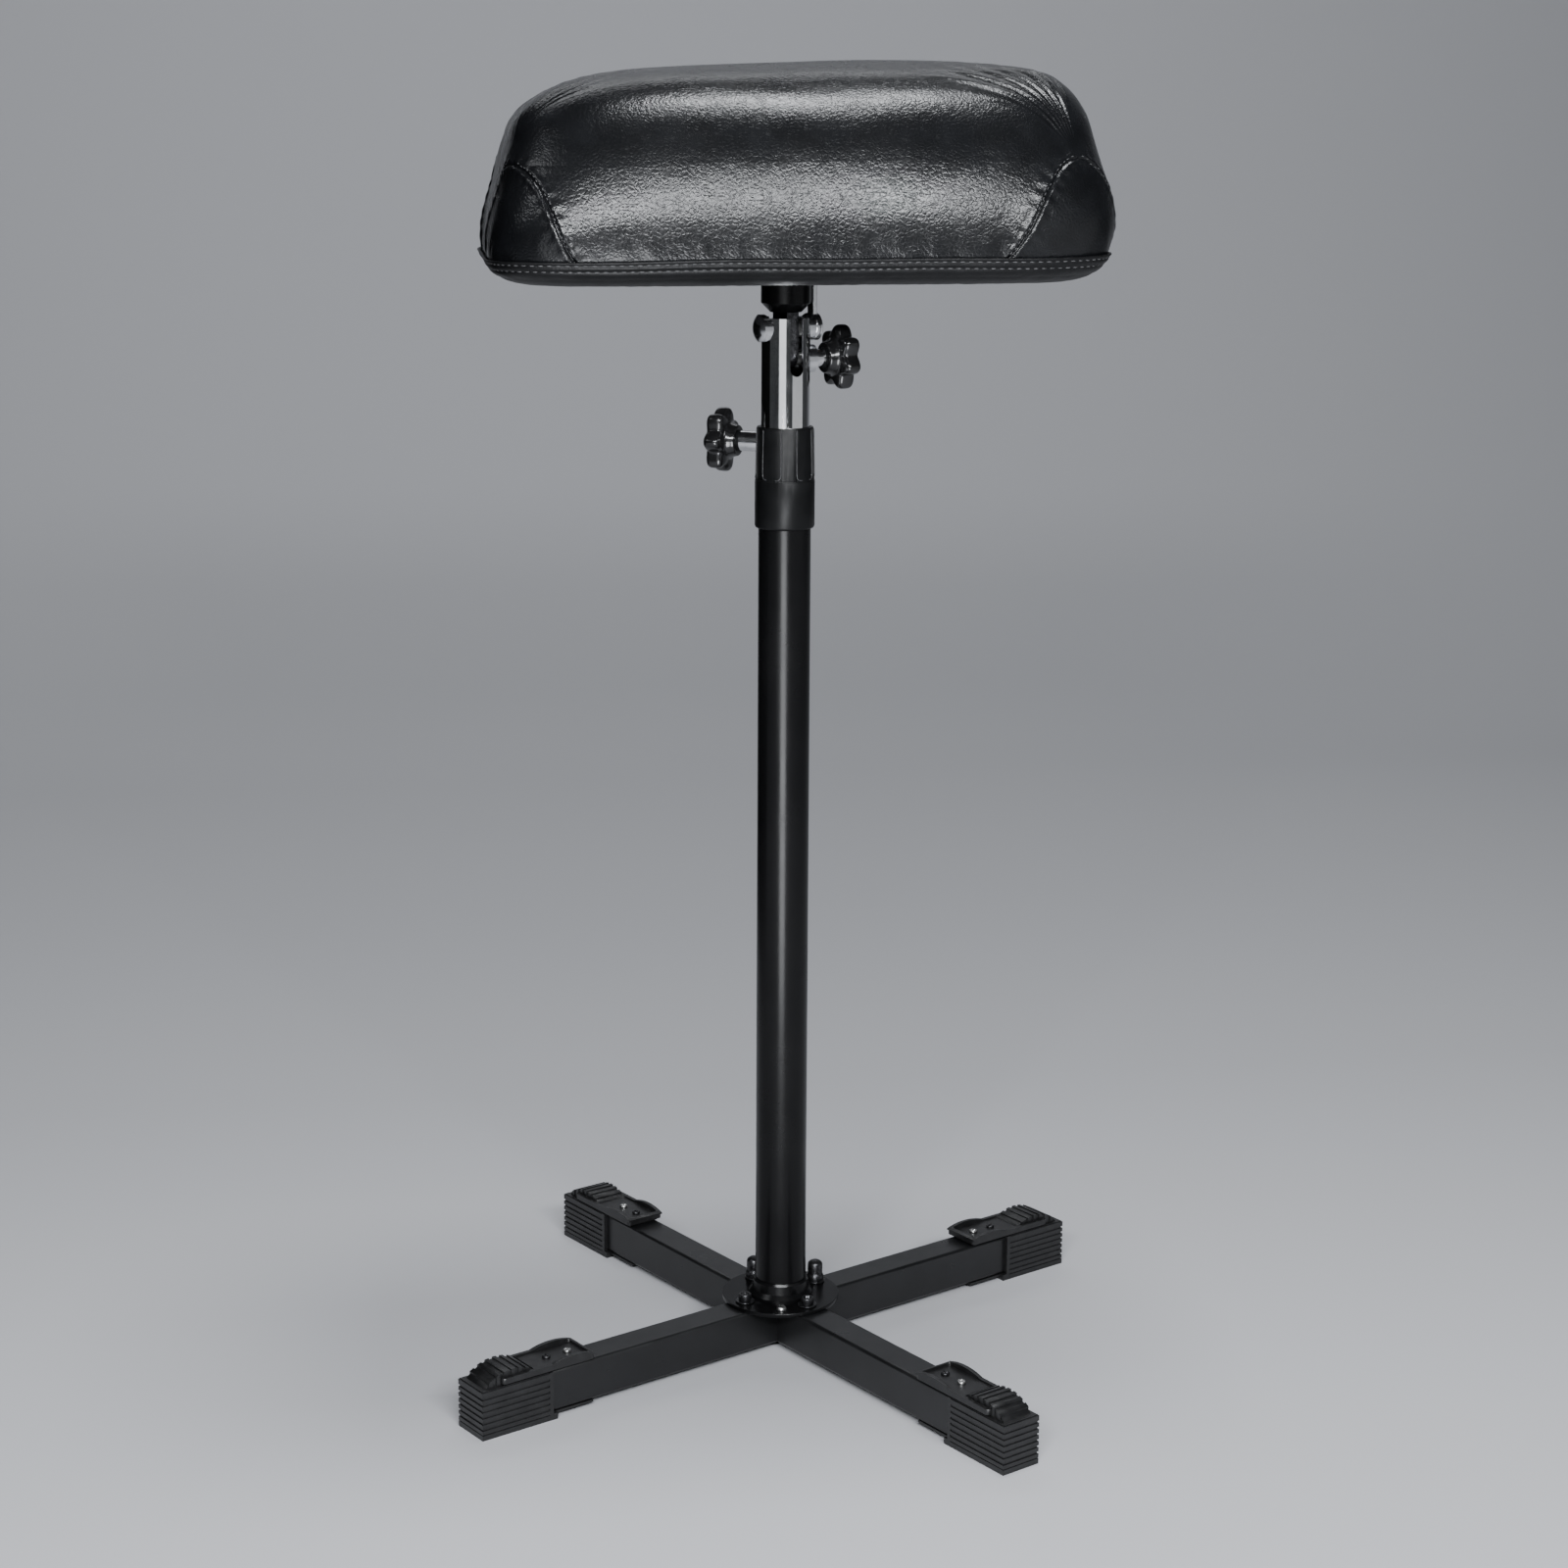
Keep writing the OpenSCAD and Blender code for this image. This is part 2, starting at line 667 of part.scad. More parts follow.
// The mast's top is slotted front and back for the tongue and drilled for the tilt bolt and the clamp
module inner_mast() {
  slot_r = slot_w / 2;
  color("#c4c7cc") difference() {
    translate([0, 0, mast_bottom]) tube(mast_r, mast_bore_r, mast_len);
    translate([0, 0, slot_bottom + slot_r]) rotate([0, 0, joint_turn]) {
      translate([-slot_r, -mast_d, 0]) cube([slot_w, 2 * mast_d, slot_depth]);
      rotate([90, 0, 0]) translate([0, 0, -mast_d]) cylinder(r = slot_r, h = 2 * mast_d);
    }
    outward(joint_turn, pivot_z) translate([0, 0, -mast_d])
      cylinder(r = pivot_d / 2 + run_clear, h = 2 * mast_d);
    outward(joint_turn, clamp_z) cylinder(r = screw_d / 2 + loose_clear, h = mast_d);
  }
}

module domed_ear() {
  dome_r = (pow(ear_r, 2) + pow(ear_dome, 2)) / (2 * ear_dome);
  cylinder(r = ear_r, h = ear_edge);
  translate([0, 0, ear_edge]) intersection() {
    cylinder(r = ear_r, h = ear_dome);
    translate([0, 0, ear_dome - dome_r]) sphere(r = dome_r, $fn = 96);
  }
}

// The domed head sits on the left and the bolt's plain end runs into the domed nut on the right
module pivot_bolt() {
  color("#c9ccd1") outward(joint_turn, pivot_z) {
    translate([0, 0, -seat_end - face_clear]) rotate([180, 0, 0]) domed_ear();
    translate([0, 0, -seat_end - face_clear])
      cylinder(d = pivot_d, h = seat_end + nut_start + ear_edge + face_clear);
  }
}

module pivot_nut() {
  color("#c9ccd1") outward(joint_turn, pivot_z) translate([0, 0, nut_start]) difference() {
    domed_ear();
    translate([0, 0, -over]) cylinder(r = pivot_d / 2 + run_clear, h = ear_edge + face_clear + over);
  }
}

// Chrome seats fill the space between the round mast and the flat faces of the heads
module pivot_seats() {
  color("#d2d5d9") outward(joint_turn, pivot_z) for (side = [0, 180]) rotate([side, 0, 0])
    seated_boss(mast_r, seat_end, ear_d, pivot_d / 2 + run_clear);
}

// Bushes inside the mast keep the tongue in the middle of the bolt
module pivot_bushes() {
  bush_r = pivot_d / 2 + bush_wall;
  bush_start = blade_end + face_clear;
  bush_end = sqrt(pow(mast_bore_r, 2) - pow(bush_r, 2)) - face_clear;
  color("#8a8d92") outward(joint_turn, pivot_z) for (side = [0, 180]) rotate([side, 0, 0])
    translate([0, 0, bush_start]) tube(bush_r, pivot_d / 2 + run_clear, bush_end - bush_start);
}

module clamp_boss() {
  color("#c9ccd1") outward(joint_turn, clamp_z) {
    seated_boss(mast_r, clamp_seat_end, clamp_seat_d, screw_d / 2 + run_clear);
    translate([0, 0, clamp_seat_end]) tube(clamp_boss_d / 2, screw_d / 2 + run_clear, clamp_boss_h);
  }
}

module tilt_washer() {
  color("#e4e5e7") outward(joint_turn, clamp_z) knob_washer(clamp_boss_end);
}

module tilt_knob() {
  color("#0d0d0e") outward(joint_turn, clamp_z) star_knob(clamp_boss_end);
}

module tilt_screw() {
  color("#a7aaae") outward(joint_turn, clamp_z) knob_screw(blade_end + face_clear, clamp_boss_end);
}

// The tongue swings on the tilt bolt between the mast's walls; the clamp screw presses on its side
module tilt_tongue() {
  blade_r = blade_w / 2;
  color("#3a3b3e") outward(joint_turn, pivot_z) translate([0, 0, -blade_end]) difference() {
    union() {
      translate([blade_drop - blade_r, 0, 0]) cylinder(r = blade_r, h = blade_t);
      translate([-(post_bottom - pivot_z), -blade_r, 0])
        cube([post_bottom - pivot_z + blade_drop - blade_r, blade_w, blade_t]);
    }
    translate([0, 0, -over]) cylinder(r = pivot_d / 2 + run_clear, h = blade_t + 2 * over);
  }
}

module head_post() {
  color("#101113") translate([0, 0, post_bottom]) rotate_extrude() polygon([
    [0, 0],
    [post_d / 2 - post_chamfer, 0],
    [post_d / 2, post_chamfer],
    [post_d / 2, post_h],
    [0, post_h]
  ]);
}

module tilt_strap() {
  strap_rise = plate_bottom - pivot_z;
  color("#c4c7cc") outward(joint_turn, pivot_z) translate([0, 0, strap_start]) difference() {
    union() {
      cylinder(r = ear_r, h = strap_t);
      translate([-strap_rise, -strap_w / 2, 0]) cube([strap_rise, strap_w, strap_t]);
    }
    translate([0, 0, -over]) cylinder(r = pivot_d / 2 + run_clear, h = strap_t + 2 * over);
  }
}

module plate_places() {
  for (x = [-1, 1], y = [-1, 1]) translate([x * plate_pitch / 2, y * plate_pitch / 2, 0]) children();
}

module head_plate() {
  color("#141517") translate([0, 0, plate_bottom]) difference() {
    rounded_slab(plate_side, plate_side, plate_t, plate_corner);
    plate_places() translate([0, 0, -over])
      cylinder(r = plate_screw_d / 2 + run_clear, h = plate_t + 2 * over);
  }
}

module plate_screws() {
  color("#9a9da2") plate_places() {
    translate([0, 0, plate_bottom - plate_head_h]) cylinder(d = plate_head_d, h = plate_head_h);
    translate([0, 0, plate_bottom]) cylinder(d = plate_screw_d, h = plate_t + board_t * 0.8);
  }
}

// Nuts pressed into the board from above
module board_nuts() {
  color("#8a8d92") plate_places() translate([0, 0, board_bottom + board_t * 0.3])
    tube(plate_screw_d / 2 + board_t * 0.12, plate_screw_d / 2 + run_clear, board_t * 0.6);
}

module pad_board() {
  color("#b98f5e") translate([0, 0, board_bottom]) difference() {
    linear_extrude(board_t) pad_outline(cover_t + soft_clear);
    plate_places() {
      translate([0, 0, -over])
        cylinder(r = plate_screw_d / 2 + loose_clear, h = board_t + over - board_t * 0.1);
      translate([0, 0, board_t * 0.3])
        cylinder(r = plate_screw_d / 2 + board_t * 0.12 + run_clear, h = board_t);
    }
  }
}

// The pad's form: rings of a squared ellipse, drawn in along each side and stacked along the side
// profile. Higher rings are rounder, as the leather gathers over the corners, and fall towards the ends
function pull(share) = side_draw * (1 - pow(share, 2));

function square_at(share) = low_square + (top_square - low_square) * pow(share, 2);

function ring_point(angle, half_l, half_d, share) =
  let (c = cos(angle), s = sin(angle), power = 2 / square_at(share),
       x = sign(c) * pow(abs(c), power), y = sign(s) * pow(abs(s), power),
       px = x * half_l - sign(x) * pow(abs(x), 8) * pull(y))
  [px, y * half_d - sign(y) * pow(abs(y), 8) * pull(x),
   cover_bottom + share * pad_h - end_fall * pow(share, 2) * pow(2 * px / pad_len, 2)];

function pad_ring(share, draw, skin) = [
  for (i = [0:ring_points - 1]) ring_point((i + 0.5) * 360 / ring_points,
    pad_len / 2 + side_draw - draw * pad_half - skin, pad_half + side_draw - draw * pad_half - skin, share)
];

// Outline of what lies under the pad, a given distance inside the cover's lowest ring
module pad_outline(skin) {
  polygon([for (p = pad_ring(0, draw_at(0), skin)) [p[0], p[1]]]);
}

// Draws a ring's share of the way in, between the listed shares
function draw_at(share) = lookup(share, pad_profile_shares);

function wall_faces(rings) = [
  for (r = [0:rings - 2], i = [0:ring_points - 1])
    let (a = r * ring_points + i, b = r * ring_points + (i + 1) % ring_points)
    each [[a, b + ring_points, b], [a, a + ring_points, b + ring_points]]
];

// Closed form of the pad, skin millimetres inside the cover's outer face and cut off at the given height
module pad_form(skin, bottom_z) {
  low = (bottom_z - cover_bottom) / pad_h;
  shares = concat([low], [for (row = pad_profile_shares) if (row[0] > low + crown_share) row[0]]);
  rings = [for (share = shares)
    let (ring = pad_ring(share, draw_at(share), skin))
    [for (p = ring) [p[0], p[1], share == low ? bottom_z : max(bottom_z, p[2] - skin * share)]]];
  count = len(shares);
  top_z = cover_bottom + pad_h * (1 + crown_share) - skin;
  points = concat([for (ring = rings) each ring], [[0, 0, bottom_z], [0, 0, top_z]]);
  bottom_mid = count * ring_points;
  last = (count - 1) * ring_points;
  faces = concat(
    wall_faces(count),
    [for (i = [0:ring_points - 1]) [i, (i + 1) % ring_points, bottom_mid]],
    [for (i = [0:ring_points - 1]) [last + (i + 1) % ring_points, last + i, bottom_mid + 1]]
  );
  polyhedron(points, faces);
}

module pad_foam() {
  color("#d9c77a") pad_form(cover_t + soft_clear, board_top + soft_clear);
}

module pad_cover() {
  color("#17181a") difference() {
    pad_form(0, cover_bottom);
    pad_form(cover_t, cover_bottom + cover_t);
    translate([0, 0, cover_bottom - over]) linear_extrude(cover_t + 2 * over) pad_outline(fold_w);
  }
}

// A closed ring of leather that follows the pad's form between two heights
module band(inner_out, outer_out, low, high) {
  between = [for (row = pad_profile_shares) if (row[0] > low && row[0] < high) row[0]];
  heights = concat([low], between, [high]);
  steps = len(heights) - 1;
  loops = concat(
    [for (share = heights) pad_ring(share, draw_at(share), -outer_out)],
    [for (k = [steps:-1:0]) pad_ring(heights[k], draw_at(heights[k]), -inner_out)]
  );
  count = len(loops);
  faces = [for (r = [0:count - 1], i = [0:ring_points - 1])
    let (next = (r + 1) % count * ring_points, a = r * ring_points + i, j = (i + 1) % ring_points)
    each [[a, next + j, r * ring_points + j], [a, next + i, next + j]]];
  polyhedron([for (loop = loops) each loop], faces);
}

module hem_band() {
  low_share = hem_t / pad_h;
  color("#141517") band(soft_clear, soft_clear + hem_t, low_share, low_share + hem_h / pad_h);
}

module under_cloth() {
  color("#202124") translate([0, 0, cloth_top - cloth_t]) difference() {
    linear_extrude(cloth_t) pad_outline(fold_w / 2);
    translate([0, 0, -over]) rounded_slab(plate_side + 2 * cloth_gap, plate_side + 2 * cloth_gap,
      cloth_t + 2 * over, plate_corner);
  }
}

main_leg();
side_leg(3);  // side_leg_front
side_leg(1);  // side_leg_back
flange_plate();
flange_bolts();
leg_nuts();
pole_socket();
foot_cap(0);  // foot_back_right
foot_cap(1);  // foot_back_left
foot_cap(2);  // foot_front_left
foot_cap(3);  // foot_front_right
foot_screws();
outer_pole();
collar();
height_boss();
height_washer();
height_knob();
height_screw();
glide_bush();
inner_mast();
pivot_bolt();
pivot_nut();
pivot_seats();
pivot_bushes();
clamp_boss();
tilt_washer();
tilt_knob();
tilt_screw();
tilt_tongue();
head_post();
tilt_strap();
head_plate();
plate_screws();
board_nuts();
pad_board();
pad_foam();
pad_cover();
hem_band();
under_cloth();
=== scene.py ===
# %% [markdown]
# # An arm rest stand: a leather pad on a telescopic pole
#
# This notebook dresses a CAD model. The metal tubes, the collar and the foot caps come from the CAD
# model and only need finishes. The soft pad, the moulded star knobs and the threaded fixings are
# modelled here, because their charm lies in rounded, stitched and slightly uneven shapes.

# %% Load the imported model
from math import cos, hypot, pi, radians, sin

import bmesh
import bpy
import numpy as np
from mathutils import Matrix, Vector, kdtree, noise


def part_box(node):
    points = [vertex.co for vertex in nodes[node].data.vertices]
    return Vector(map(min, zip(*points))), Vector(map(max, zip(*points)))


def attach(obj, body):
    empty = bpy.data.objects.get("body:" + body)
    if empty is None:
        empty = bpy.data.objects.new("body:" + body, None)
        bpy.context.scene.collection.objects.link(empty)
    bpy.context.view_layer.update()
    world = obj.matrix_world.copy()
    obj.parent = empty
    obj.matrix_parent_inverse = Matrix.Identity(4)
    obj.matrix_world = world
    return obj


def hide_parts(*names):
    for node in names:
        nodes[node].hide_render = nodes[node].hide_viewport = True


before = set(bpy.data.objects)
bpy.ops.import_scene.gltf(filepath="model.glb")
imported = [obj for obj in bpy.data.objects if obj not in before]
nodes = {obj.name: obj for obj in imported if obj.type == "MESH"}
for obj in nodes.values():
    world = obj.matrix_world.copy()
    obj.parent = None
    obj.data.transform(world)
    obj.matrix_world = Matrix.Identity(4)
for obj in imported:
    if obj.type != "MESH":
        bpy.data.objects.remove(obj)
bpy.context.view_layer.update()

MM = 0.001

# %% [markdown]
# ## The camera
#
# The product photograph was taken with a long lens from a little above the middle of the stand. A
# camera can be aimed by eye, but here its place was worked out from the legs, which meet at right
# angles and so fix the height, the distance and the heading. The pole leans a trace in the
# photograph: the stand is upright here, and the camera rolls instead. A small lens shift keeps the
# framing of the photograph.

# %% Camera
CAMERA_DISTANCE = 1.81
CAMERA_HEIGHT = 0.788
CAMERA_HEADING = radians(8.05)
CAMERA_PITCH = radians(10.773)
CAMERA_ROLL = radians(0.316)

lens = bpy.data.cameras.new("product_lens")
lens.sensor_width = 36
lens.lens = 69.01
lens.shift_x = 0.0001
lens.shift_y = -0.08
camera = bpy.data.objects.new("product_camera", lens)
camera.location = (-CAMERA_DISTANCE * sin(CAMERA_HEADING),
                   -CAMERA_DISTANCE * cos(CAMERA_HEADING), CAMERA_HEIGHT)
aim = (Matrix.Rotation(-CAMERA_HEADING, 3, "Z") @ Matrix.Rotation(radians(90) - CAMERA_PITCH, 3, "X")
       @ Matrix.Rotation(CAMERA_ROLL, 3, "Z"))
camera.rotation_euler = aim.to_euler()
bpy.context.scene.collection.objects.link(camera)
bpy.context.scene.camera = camera
print("camera stands at", [round(v, 3) for v in camera.location])

# %% [markdown]
# ## Small helpers for meshes
#
# Most modelled pieces here are grids of points: rings stacked along an axis, or rows laid over a
# form. One helper turns points and faces into an object with smooth faces.

# %% Mesh helpers
def make_piece(name, points, faces, finish):
    """Makes a smooth object from points in metres and lists of corner numbers."""
    mesh = bpy.data.meshes.new(name)
    mesh.from_pydata([tuple(p) for p in points], [], [list(f) for f in faces])
    mesh.validate()
    mesh.materials.append(finish)
    for polygon in mesh.polygons:
        polygon.use_smooth = True
    piece = bpy.data.objects.new(name, mesh)
    bpy.context.scene.collection.objects.link(piece)
    return piece


def ring_faces(rings, columns, first=0):
    """Quads between stacked closed rings of points."""
    faces = []
    for row in range(rings - 1):
        for column in range(columns):
            a = first + row * columns + column
            b = first + row * columns + (column + 1) % columns
            faces.append((a, b, b + columns, a + columns))
    return faces


def apply_modifiers(piece):
    """Keeps the modified mesh and drops the modifiers."""
    depsgraph = bpy.context.evaluated_depsgraph_get()
    mesh = bpy.data.meshes.new_from_object(piece.evaluated_get(depsgraph))
    piece.modifiers.clear()
    piece.data = mesh

# %% [markdown]
# ## Finishes
#
# Every finish is a Principled shader with procedural detail. Object coordinates are in metres here,
# so a noise scale of 1000 gives grain about a millimetre across, whatever the piece. Detail goes
# into three channels: colour for dust and wear, roughness for smudges, and bump for grain.

# %% Finish helpers
class Finish:
    """A material with its shader and ways to add procedural detail."""

    def __init__(self, name, colour, roughness, metallic=0.0, specular=0.5):
        self.material = bpy.data.materials.new(name)
        self.material.use_nodes = True
        self.tree = self.material.node_tree
        self.shader = self.tree.nodes["Principled BSDF"]
        self.shader.inputs["Base Color"].default_value = (*colour, 1)
        self.shader.inputs["Roughness"].default_value = roughness
        self.shader.inputs["Metallic"].default_value = metallic
        self.shader.inputs["Specular IOR Level"].default_value = specular
        self.place = self.tree.nodes.new("ShaderNodeTexCoord").outputs["Object"]

    def add(self, kind, **values):
        """Adds a node and sets its inputs by name, or its settings where it has no such input."""
        node = self.tree.nodes.new("ShaderNode" + kind)
        for key, value in values.items():
            if key in node.inputs:
                node.inputs[key].default_value = value
            else:
                setattr(node, key, value)
        return node

    def link(self, start, end):
        self.tree.links.new(start, end)

    def noise(self, scale, detail=4.0, rough=0.5):
        node = self.add("TexNoise", Scale=scale, Detail=detail, Roughness=rough)
        self.link(self.place, node.inputs["Vector"])
        return node.outputs["Fac"]

    def spread(self, value, low, high, start=0.3, end=0.7):
        """Maps a texture value to a range."""
        node = self.add("MapRange")
        for name, number in (("From Min", start), ("From Max", end), ("To Min", low), ("To Max", high)):
            node.inputs[name].default_value = number
        self.link(value, node.inputs["Value"])
        return node.outputs["Result"]

    def shades(self, value, dark, light, start=0.35, end=0.65):
        """Mixes two colours by a texture value and gives them to the shader."""
        ramp = self.add("ValToRGB")
        ramp.color_ramp.elements[0].position = start
        ramp.color_ramp.elements[1].position = end
        ramp.color_ramp.elements[0].color = (*dark, 1)
        ramp.color_ramp.elements[1].color = (*light, 1)
        self.link(value, ramp.inputs["Fac"])
        self.link(ramp.outputs["Color"], self.shader.inputs["Base Color"])

    def roughness(self, value, low, high):
        self.link(self.spread(value, low, high), self.shader.inputs["Roughness"])

    def bump(self, height, distance, strength=1.0, below=None):
        """Adds relief of a real depth in metres, on top of an earlier relief if one is given."""
        node = self.add("Bump", Strength=strength, Distance=distance)
        self.link(height, node.inputs["Height"])
        if below:
            self.link(below, node.inputs["Normal"])
        self.link(node.outputs["Normal"], self.shader.inputs["Normal"])
        return node.outputs["Normal"]

# %% [markdown]
# ### Most finishes in one call
#
# Paint, plastic and metal differ in their numbers more than in their make-up: a noise between two
# close colours, a noise in the relief and mostly a third one in the roughness. One function makes
# them all from short lists of numbers, so that two finishes can be compared line by line.

# %% Plain finishes
def plain(name, roughness, tints, grain, smudges=None, metallic=0.0, specular=0.5):
    """A material with noise in its colour, in its relief and, if smudges are given, in its roughness.

    Each of the three lists starts with the scale and detail of its noise. Then come the dark and the
    light colour, the depth and strength of the relief, or the lowest and the highest roughness.
    """
    made = Finish(name, tints[1], roughness, metallic, specular)
    made.shades(made.noise(*tints[0]), *tints[1:])
    made.bump(made.noise(*grain[0]), *grain[1:])
    if smudges:
        made.roughness(made.noise(*smudges[0]), *smudges[1:])
    return made.material

# %% [markdown]
# ### Leather
#
# The cover is thin coated leather with a creased grain: short wandering furrows about two
# millimetres apart. A pattern of cells gives the fields between them, and pushing its coordinates
# about with noise makes the furrows wander. A second, wider noise varies the gloss, because the
# coating is thicker in some places than in others.

# %% Leather
def leather(name, colour, gloss, grain, depth, specular=0.36):
    made = Finish(name, colour, gloss, specular=specular)
    drift = made.add("TexNoise", Scale=170.0, Detail=3.0)
    made.link(made.place, drift.inputs["Vector"])
    push = made.add("VectorMath", operation="SCALE")
    push.inputs["Scale"].default_value = 0.0052
    made.link(drift.outputs["Color"], push.inputs[0])
    moved = made.add("VectorMath", operation="ADD")
    made.link(made.place, moved.inputs[0])
    made.link(push.outputs["Vector"], moved.inputs[1])
    cells = made.add("TexVoronoi", feature="DISTANCE_TO_EDGE", Scale=grain)
    made.link(moved.outputs["Vector"], cells.inputs["Vector"])
    furrows = made.spread(cells.outputs["Distance"], 0.0, 1.0, 0.0, 0.3)
    fine = made.noise(1700.0, 3.0)
    wide = made.noise(26.0, 3.0)
    made.shades(made.noise(60.0, 3.0), [c * 0.8 for c in colour], [c * 1.25 for c in colour])
    made.roughness(wide, gloss - 0.02, gloss + 0.04)
    grain_relief = made.bump(furrows, depth, 0.9)
    pores = made.bump(fine, depth * 0.3, 0.5, grain_relief)
    made.bump(made.noise(75.0, 2.0), 0.0004, 0.6, pores)
    return made.material


black_leather = leather("black_leather", (0.0044, 0.0047, 0.0055), 0.26, 400, 0.00008)
hem_leather = leather("hem_leather", (0.0054, 0.0055, 0.0060), 0.40, 450, 0.00006, 0.2)
print("leather finishes:", black_leather.name, hem_leather.name)

# %% [markdown]
# ### Thread, cloth and board
#
# Sewing thread is a twisted yarn: a fine grain along it reads as the twist. The cloth under the
# board is a felted dust cover, so it is only noise. The board is plywood, with its plies as a wave
# along the height.

# %% Thread, cloth and board
thread = plain("thread", 0.55, [(300, 4), (0.045, 0.045, 0.047), (0.09, 0.09, 0.093)], [(4200, 2), 0.00012, 0.7])
dust_cloth = plain("dust_cloth", 0.92, [(900, 5), (0.008, 0.008, 0.009), (0.028, 0.028, 0.03)],
                   [(2300, 6, 0.75), 0.0004, 0.8], specular=0.2)

board_finish = Finish("plywood", (0.42, 0.28, 0.16), 0.7)
plies = board_finish.add("TexWave", bands_direction="Z", Scale=160.0, Distortion=1.5, Detail=3.0)
board_finish.link(board_finish.place, plies.inputs["Vector"])
board_finish.shades(plies.outputs["Fac"], (0.30, 0.19, 0.10), (0.50, 0.35, 0.21))
board_finish.bump(board_finish.noise(700.0, 5.0), 0.0003, 0.5)
plywood = board_finish.material
print("soft finishes:", thread.name, dust_cloth.name, plywood.name)

# %% [markdown]
# ### Metals and paints
#
# The pole is stoved gloss paint, which shows a faint orange peel. The legs are powder coat, matt
# with a fine sandy texture. Chrome is nearly a mirror, so it gets only a trace of wiping marks in
# its roughness; what makes it read as chrome is what stands round it. The small fittings of the
# joint have a duller chrome, and the screws are zinc plated or blackened.

# %% Metals and paints
gloss_paint = plain("gloss_paint", 0.24, [(18, 5), (0.0028, 0.0028, 0.0031), (0.0048, 0.0048, 0.0051)],
                    [(420, 2), 0.00006, 0.35], [(35, 4), 0.21, 0.29], specular=0.17)
powder_coat = plain("powder_coat", 0.32, [(30, 6, 0.65), (0.0040, 0.0041, 0.0045), (0.0078, 0.0080, 0.0085)],
                    [(1500, 4, 0.6), 0.00008, 0.4], [(48, 5), 0.27, 0.38])
chrome = plain("chrome", 0.07, [(55, 4), (0.74, 0.745, 0.755), (0.84, 0.84, 0.845)],
               [(300, 2), 0.00003, 0.2], [(90, 5), 0.045, 0.11], metallic=1.0)
satin_chrome = plain("satin_chrome", 0.16, [(160, 4), (0.50, 0.505, 0.515), (0.62, 0.62, 0.63)],
                     [(700, 2), 0.00001, 0.2], [(260, 4), 0.12, 0.22], metallic=1.0)
zinc_steel = plain("zinc_steel", 0.32, [(500, 3), (0.34, 0.34, 0.335), (0.56, 0.56, 0.55)],
                   [(1800, 3), 0.00008, 0.4], [(700, 4), 0.22, 0.45], metallic=1.0)
blackened_steel = plain("blackened_steel", 0.3, [(420, 4), (0.022, 0.022, 0.024), (0.06, 0.06, 0.063)],
                        [(1500, 3), 0.00008, 0.4], [(600, 4), 0.22, 0.42], metallic=0.85)
print("metal finishes:", gloss_paint.name, powder_coat.name, chrome.name, satin_chrome.name)

# %% [markdown]
# ### Moulded plastics
#
# The plastics of the photograph differ mostly in gloss. The knobs are a hard, polished resin. The collar is satin, and
# the rims on its panels have a lighter colour, a painted highlight for the thin line of light that their rounding
# catches. The foot caps are rubbery, with a fine moulded texture that has gone a little grey where it rubs. The glide
# bush inside the pole is pale nylon.

# %% Moulded plastics
polished_plastic = plain("polished_plastic", 0.17, [(80, 4), (0.0048, 0.0048, 0.005), (0.0085, 0.0085, 0.009)],
                         [(260, 2), 0.00008, 0.3], [(120, 4), 0.13, 0.24])
satin_plastic = plain("satin_plastic", 0.34, [(90, 4), (0.004, 0.0042, 0.0045), (0.006, 0.0062, 0.0066)],
                      [(2600, 2), 0.00006, 0.4], [(150, 4), 0.31, 0.42], specular=0.13)
# Painted highlight: the rims are coloured lighter than the collar to stand for the light that their rounding catches
highlight_rim_plastic = plain("highlight_rim_plastic", 0.2, [(300, 3), (0.025, 0.025, 0.027), (0.05, 0.05, 0.052)],
                    [(2600, 2), 0.00004, 0.3], [(400, 3), 0.16, 0.28])
rubbery_plastic = plain("rubbery_plastic", 0.36,
                        [(140, 6, 0.7), (0.0055, 0.0055, 0.0058), (0.013, 0.013, 0.0136), 0.4, 0.75],
                        [(2200, 3), 0.00008, 0.4], [(110, 5), 0.30, 0.44])
nylon = plain("nylon", 0.42, [(200, 4), (0.54, 0.54, 0.52), (0.68, 0.68, 0.66)],
              [(1600, 3), 0.00006, 0.4], [(300, 4), 0.36, 0.5])
print("plastics:", polished_plastic.name, satin_plastic.name, highlight_rim_plastic.name, rubbery_plastic.name, nylon.name)

# %% [markdown]
# ## Finishes on the CAD pieces
#
# Every finish is given to the list of pieces that have it on the real stand. Pieces whose form is
# modelled again further down are in the lists too, so that no CAD piece is left bare.

# %% Dress the CAD pieces
LEGS = ["main_leg", "side_leg_front", "side_leg_back"]
FEET = ["foot_back_right", "foot_back_left", "foot_front_left", "foot_front_right"]
cad_finishes = {
    powder_coat: LEGS,
    gloss_paint: ["flange_plate", "pole_socket", "outer_pole", "head_post", "head_plate"],
    chrome: ["inner_mast"],
    satin_chrome: ["pivot_bolt", "pivot_nut", "pivot_seats", "clamp_boss", "height_boss", "tilt_strap"],
    zinc_steel: ["leg_nuts", "board_nuts", "plate_screws", "foot_screws", "height_screw", "tilt_screw",
                 "pivot_bushes"],
    blackened_steel: ["tilt_tongue", "flange_bolts"],
    satin_plastic: ["collar", "height_washer", "tilt_washer"],
    rubbery_plastic: FEET,
    polished_plastic: ["height_knob", "tilt_knob"],
    nylon: ["glide_bush"],
    plywood: ["pad_board"],
    black_leather: ["pad_cover", "hem_band", "pad_foam"],
    dust_cloth: ["under_cloth"],
}
for finish, names in cad_finishes.items():
    for name in names:
        slots = nodes[name].material_slots
        if not slots:
            nodes[name].data.materials.append(finish)
        for slot in slots:
            slot.material = finish
print("CAD pieces dressed:", sum(len(names) for names in cad_finishes.values()), "of", len(nodes))

